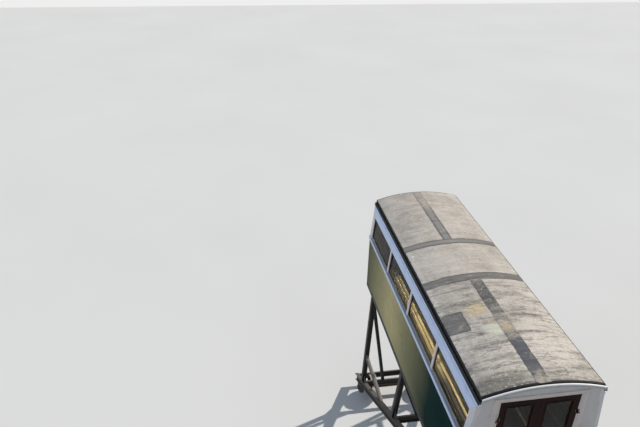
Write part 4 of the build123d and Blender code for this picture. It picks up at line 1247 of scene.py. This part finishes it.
# Eave strips. A black bitumen strip 11 mm wide seals the felt's edge over each gutter. It is
# brushed on by hand, so it wanders a little.
eave_y = np.linspace(felt_start + 0.002, felt_end - 0.002, 190)[:, None]
eave_shells = []
for _, x_sign in sides:
    eave_a = np.sort(x_sign * (roof_arc + np.linspace(-0.006, 0.0055, 4)))[None]
    eave_a = eave_a + 0.0015 * np.sin(37.0 * eave_y + x_sign)
    lift = felt_thickness + creases(eave_y, eave_a) - turned_down(eave_a)
    eave_shells.append(slab(
        on_roof(eave_y, eave_a, lift + 0.0026), on_roof(eave_y, eave_a, lift - 0.0010)
    ))
eave_tar = oily_iron("eave_tar", (0.018, 0.018, 0.019), (0.060, 0.056, 0.050), 0.2)
lay_piece("eave_strips", joined(*eave_shells), eave_tar, "car", 60)

# Clout nails. Flat-headed steel nails hold the strips down every 100 mm, in a row along each
# edge, driven square to the roof's curve.
nail_pitch, first_nail, last_nail, nail_edge, nail_lift = 0.10, 0.05, 0.03, 0.018, 0.0055
nail_ys, nail_arcs = [], []
for y_start, y_end, a_start, a_end, *_ in strip_rows:
    run_y = np.arange(y_start + first_nail, y_end - last_nail, nail_pitch)
    run_a = np.arange(a_start + first_nail, a_end - last_nail, nail_pitch)
    if a_end - a_start < 1.0:
        for a in (a_start + nail_edge, a_end - nail_edge):
            nail_ys.append(run_y)
            nail_arcs.append(np.full(len(run_y), a))
    if y_end - y_start < 1.0:
        for y in (y_start + nail_edge, y_end - nail_edge):
            nail_ys.append(np.full(len(run_a), y))
            nail_arcs.append(run_a)
nail_y = np.concatenate(nail_ys) + chance.normal(0.0, 0.004, sum(map(len, nail_ys)))
nail_a = np.concatenate(nail_arcs) + chance.normal(0.0, 0.003, len(nail_y))
nail_feet = on_roof(nail_y, nail_a, nail_lift + creases(nail_y, nail_a))
nail_axes = on_roof(nail_y, nail_a, 1.0 + nail_lift + creases(nail_y, nail_a)) - nail_feet
nail_steel = oily_iron("nail_steel", (0.10, 0.095, 0.09), (0.24, 0.13, 0.07))
nail_heads = domes(0.0055, 0.0018, nail_feet, nail_axes, rings=2, segments=8)
lay_piece("felt_nails", nail_heads, nail_steel, "car", 60)

# Gutters, edgings and cornices. Black iron gutters stand on the fascias in front of the felt,
# and black edgings are nailed over the roof's ends, with a white cornice line under them.
black_iron = frame_paint("black_iron", (0.012, 0.0125, 0.0135), (0.085, 0.082, 0.078), 0.01)
dress(black_iron, "gutters")
edging_tar = oily_iron("edging_tar", (0.006, 0.006, 0.007), (0.018, 0.017, 0.016), 0.12)
dress(edging_tar, "roof_edgings")
# The cornices are painted light and shade: faces that look up get a bright lit white, the others a
# grey painted shade.
cornice_white, place = start_finish("cornice_white")
grime = speckle(place, 14.0, detail=6.0, roughness=0.65)
painted_lit_white = steps(grime, (0.50, (0.98, 0.975, 0.96)), (0.80, (0.78, 0.77, 0.74)))
painted_shade_grey = steps(grime, (0.35, (0.54, 0.51, 0.48)), (0.70, (0.40, 0.38, 0.355)))
connect(
    cornice_white, colour=blended(between(looks_up(place), 0.20, 0.45), painted_shade_grey, painted_lit_white),
    roughness=between(grime, -0.4, 2.0), normal=raised(speckle(place, 90.0), 0.0004, 0.5),
)
dress(cornice_white, "end_cornices")

# Drip moulds. A rounded white timber bead is planted along the front of each cornice's top,
# bent to the roof's curve.
cornice_low, cornice_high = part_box("end_cornices")
mould_radius = cornice_high.z - roof_centre_z
mould_half_angle = np.arcsin((roof_half - 0.004) / mould_radius)
drip_mould = [
    (-0.004, -0.028), (0.014, -0.028), (0.021, -0.024), (0.0245, -0.017), (0.0240, -0.009),
    (0.0190, -0.003), (0.001, 0.002), (-0.006, 0.002), (-0.006, 0.000), (-0.004, 0.000),
]
mould_shells = []
for end, y_sign in ends:
    angles = np.linspace(-y_sign, y_sign, 41) * -mould_half_angle
    front = cornice_low.y if y_sign < 0 else cornice_high.y
    path = arched(mould_radius, front, angles)
    mould_shells.append(carried(path, drip_mould, y_sign * y_axis, closed=False))
# The moulds take the cornices' painted light: bright where they look up, grey painted shade
# elsewhere.
lay_piece("drip_moulds", joined(*mould_shells), cornice_white, "car", 50)

# Gutter fittings. Flat iron straps hold each gutter to the fascia, sleeves cover its joints,
# stops close its ends and a rolled bead stiffens its foot.
gutter_low, gutter_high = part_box("gutters")
gutter_front, gutter_foot = gutter_high.x, gutter_low.z
gutter_back, gutter_lip = gutter_front - 0.035, gutter_foot + 0.047
strap_ys = np.linspace(gutter_low.y + 0.25, gutter_high.y - 0.25, 9)
joint_ys = np.array([-1.45, 0.47])
strap = [(0.0, 0.0), (0.0335, 0.0), (0.0350, 0.0030), (0.0, 0.0030)]
sleeve = [
    (0.0, -0.002), (0.0030, -0.0005), (0.0030, 0.0470), (0.0, 0.0485), (-0.0055, 0.0485),
    (-0.0055, 0.0470),
]
end_stop = [(0.0035, 0.0035), (0.0310, 0.0035), (0.0310, 0.0455), (0.0035, 0.0455)]
foot_bead = [
    (0.0, -0.014), (0.006, -0.013), (0.009, -0.008), (0.009, 0.004), (0.006, 0.010), (0.0, 0.011)
]
gutter_length = gutter_high.y - gutter_low.y
gutter_fittings = (
    # outline, x, starts along Y, length along Y, height
    (foot_bead, gutter_front, gutter_low.y + 0.001, gutter_length - 0.002, gutter_foot),
    (strap, gutter_back, strap_ys - 0.010, 0.020, gutter_lip),
    (sleeve, gutter_front, joint_ys - 0.035, 0.070, gutter_foot),
    (end_stop, gutter_back, (gutter_low.y + 0.0005, gutter_high.y - 0.0045), 0.004, gutter_foot),
)
gutter_shells = []
for _, x_sign in sides:
    for outline, x, y, length, z in gutter_fittings:
        start = spots_at(x_sign * x, y, z)
        stop = start + length * y_axis
        gutter_shells.append(bars(outline, start, stop, x_sign * x_axis, z_axis))
lay_piece("gutter_straps", joined(*gutter_shells), black_iron, "car")

# Edging nails. Flat-headed steel nails hold the edgings to the ends of the roof's boards, in
# a curved row at each end.
edging_low, edging_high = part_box("roof_edgings")
angle, y_sign = grid(np.linspace(-0.305, 0.305, 15), (-1, 1))
edging_face = np.where(y_sign < 0, edging_low.y, edging_high.y)
edging_nails = arched(roof_radius - 0.012, edging_face, angle)
edging_heads = domes(0.005, 0.002, edging_nails, y_sign[:, None] * y_axis, rings=2, segments=8)
lay_piece("edging_nails", edging_heads, nail_steel, "car", 60)

# Ceiling. Varnished boards run the length of the saloon under the roof, and curved timber
# sticks carry them at every window post.
ceiling_finish = tongued(
    "ceiling_boards", 0.090, "X", (0.30, 0.17, 0.075), (0.14, 0.070, 0.030), (1.0, 0.05, 1.0), 0.15
)
dress(ceiling_finish, "ceiling")
stick_finish = varnished(
    "stick_varnish", (0.19, 0.095, 0.040), (0.085, 0.040, 0.018), (0.06, 1.0, 1.0), 0.3
)
roof_depth, ceiling_gap, ceiling_depth = 0.028, 0.0003, 0.010
stick_radius = roof_radius - roof_depth - ceiling_gap - ceiling_depth
stick_angles = np.linspace(-0.300, 0.300, 31)
stick_ys = middle_y + bay_length * (np.arange(5) - 2)
stick = [
    (-0.002, -0.020), (0.021, -0.020), (0.025, -0.016), (0.025, 0.016), (0.021, 0.020),
    (-0.002, 0.020),
]
sticks = [
    carried(arched(stick_radius, y, stick_angles), stick, y_axis, closed=False) for y in stick_ys
]
lay_piece("roof_sticks", joined(*sticks), stick_finish, "car", 40)


# Benches. Pitch pine slats, golden under varnish, are screwed to dark frames along both sides.
# Their edges are rounded over, so the slats here stand for the plain ones.
def rounded(width, depth, radius, segments=3):
    """Outline of a rectangle about its centre whose corners are quarter circles."""
    turn = np.linspace(0.0, pi / 2, segments + 1)
    corners = []
    for quarter, (x, y) in enumerate(((1, 1), (-1, 1), (-1, -1), (1, -1))):
        angle = turn + quarter * pi / 2
        corners.append(np.stack((
            x * (width / 2 - radius) + radius * np.cos(angle),
            y * (depth / 2 - radius) + radius * np.sin(angle),
        ), axis=1))
    return np.concatenate(corners)


def painted_slat_shade(place):
    """Painted shade on the slats: 0 on the front slats, which the sun reaches, and more towards
    the walls and the ends, where shade falls.
    """
    from_middle, y = abs(along(place, "X")), along(place, "Y")
    uphill_end = between(y, -0.90, -1.50)
    past_nosing = between(from_middle - (0.472 - uphill_end * 0.030), 0.0, 0.006)
    behind = larger(between(from_middle, 0.540, 0.546) * 0.62, between(y, 0.50, 0.90) * 0.62)
    return larger(behind, uphill_end * past_nosing)


# painted shade: the slats behind the front ones and towards the ends are painted dark where shade
# falls, and the front slats keep a pale, sunlit gold
slat_finish = varnished(
    "bench_slats", (0.95, 0.74, 0.40), (0.60, 0.40, 0.15), (1.0, 0.05, 1.0), 0.2, painted_shade=painted_slat_shade
)
bench_finish = varnished(
    "bench_frames", (0.16, 0.075, 0.032), (0.075, 0.034, 0.016), (1.0, 1.0, 0.06), 0.3
)
dress(bench_finish, "bench_frames")
dress(slat_finish, "bench_seats", "bench_backs")
seat_low, seat_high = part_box("bench_seats")
back_low, back_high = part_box("bench_backs")
bench_low, bench_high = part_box("bench_frames")
slat_pitch, slat_width, slat_depth = 0.070, 0.058, 0.022
back_pitch, back_width, back_depth = 0.084, 0.062, 0.016
slat_xs = seat_high.x - slat_width / 2 - slat_pitch * np.arange(7)
back_zs = back_low.z + back_width / 2 + back_pitch * np.arange(5)
frame_ys = np.linspace(bench_low.y + 0.021, bench_high.y - 0.021, 5)
slat_run = (seat_high.y - seat_low.y) * y_axis
x_sign, x = grid((-1, 1), slat_xs)
starts = spots_at(x_sign * x, seat_low.y, seat_high.z - slat_depth / 2)
slats = bars(rounded(slat_width, slat_depth, 0.006), starts, starts + slat_run, x_axis, z_axis)
seats = lay_piece("seat_slats", slats, slat_finish, "car", 35)
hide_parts("bench_seats")
x_sign, z = grid((-1, 1), back_zs)
starts = spots_at(x_sign * (back_high.x - back_depth / 2), back_low.y, z)
slats = bars(rounded(back_depth, back_width, 0.005), starts, starts + slat_run, x_axis, z_axis)
backs = lay_piece("back_slats", slats, slat_finish, "car", 35)
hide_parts("bench_backs")
x_sign, x, y = grid((-1, 1), slat_xs, frame_ys)
seat_screws = spots_at(x_sign * x, y, seat_high.z)
x_sign, y, z = grid((-1, 1), frame_ys, back_zs)
back_screws = spots_at(x_sign * (back_high.x - back_depth), y, z)
screws = joined(
    domes(0.0048, 0.0014, seat_screws, z_axis, rings=2, segments=8),
    domes(0.0048, 0.0014, back_screws, -x_sign[:, None] * x_axis, rings=2, segments=8),
)
lay_piece("bench_screws", screws, brass, "car", 60)
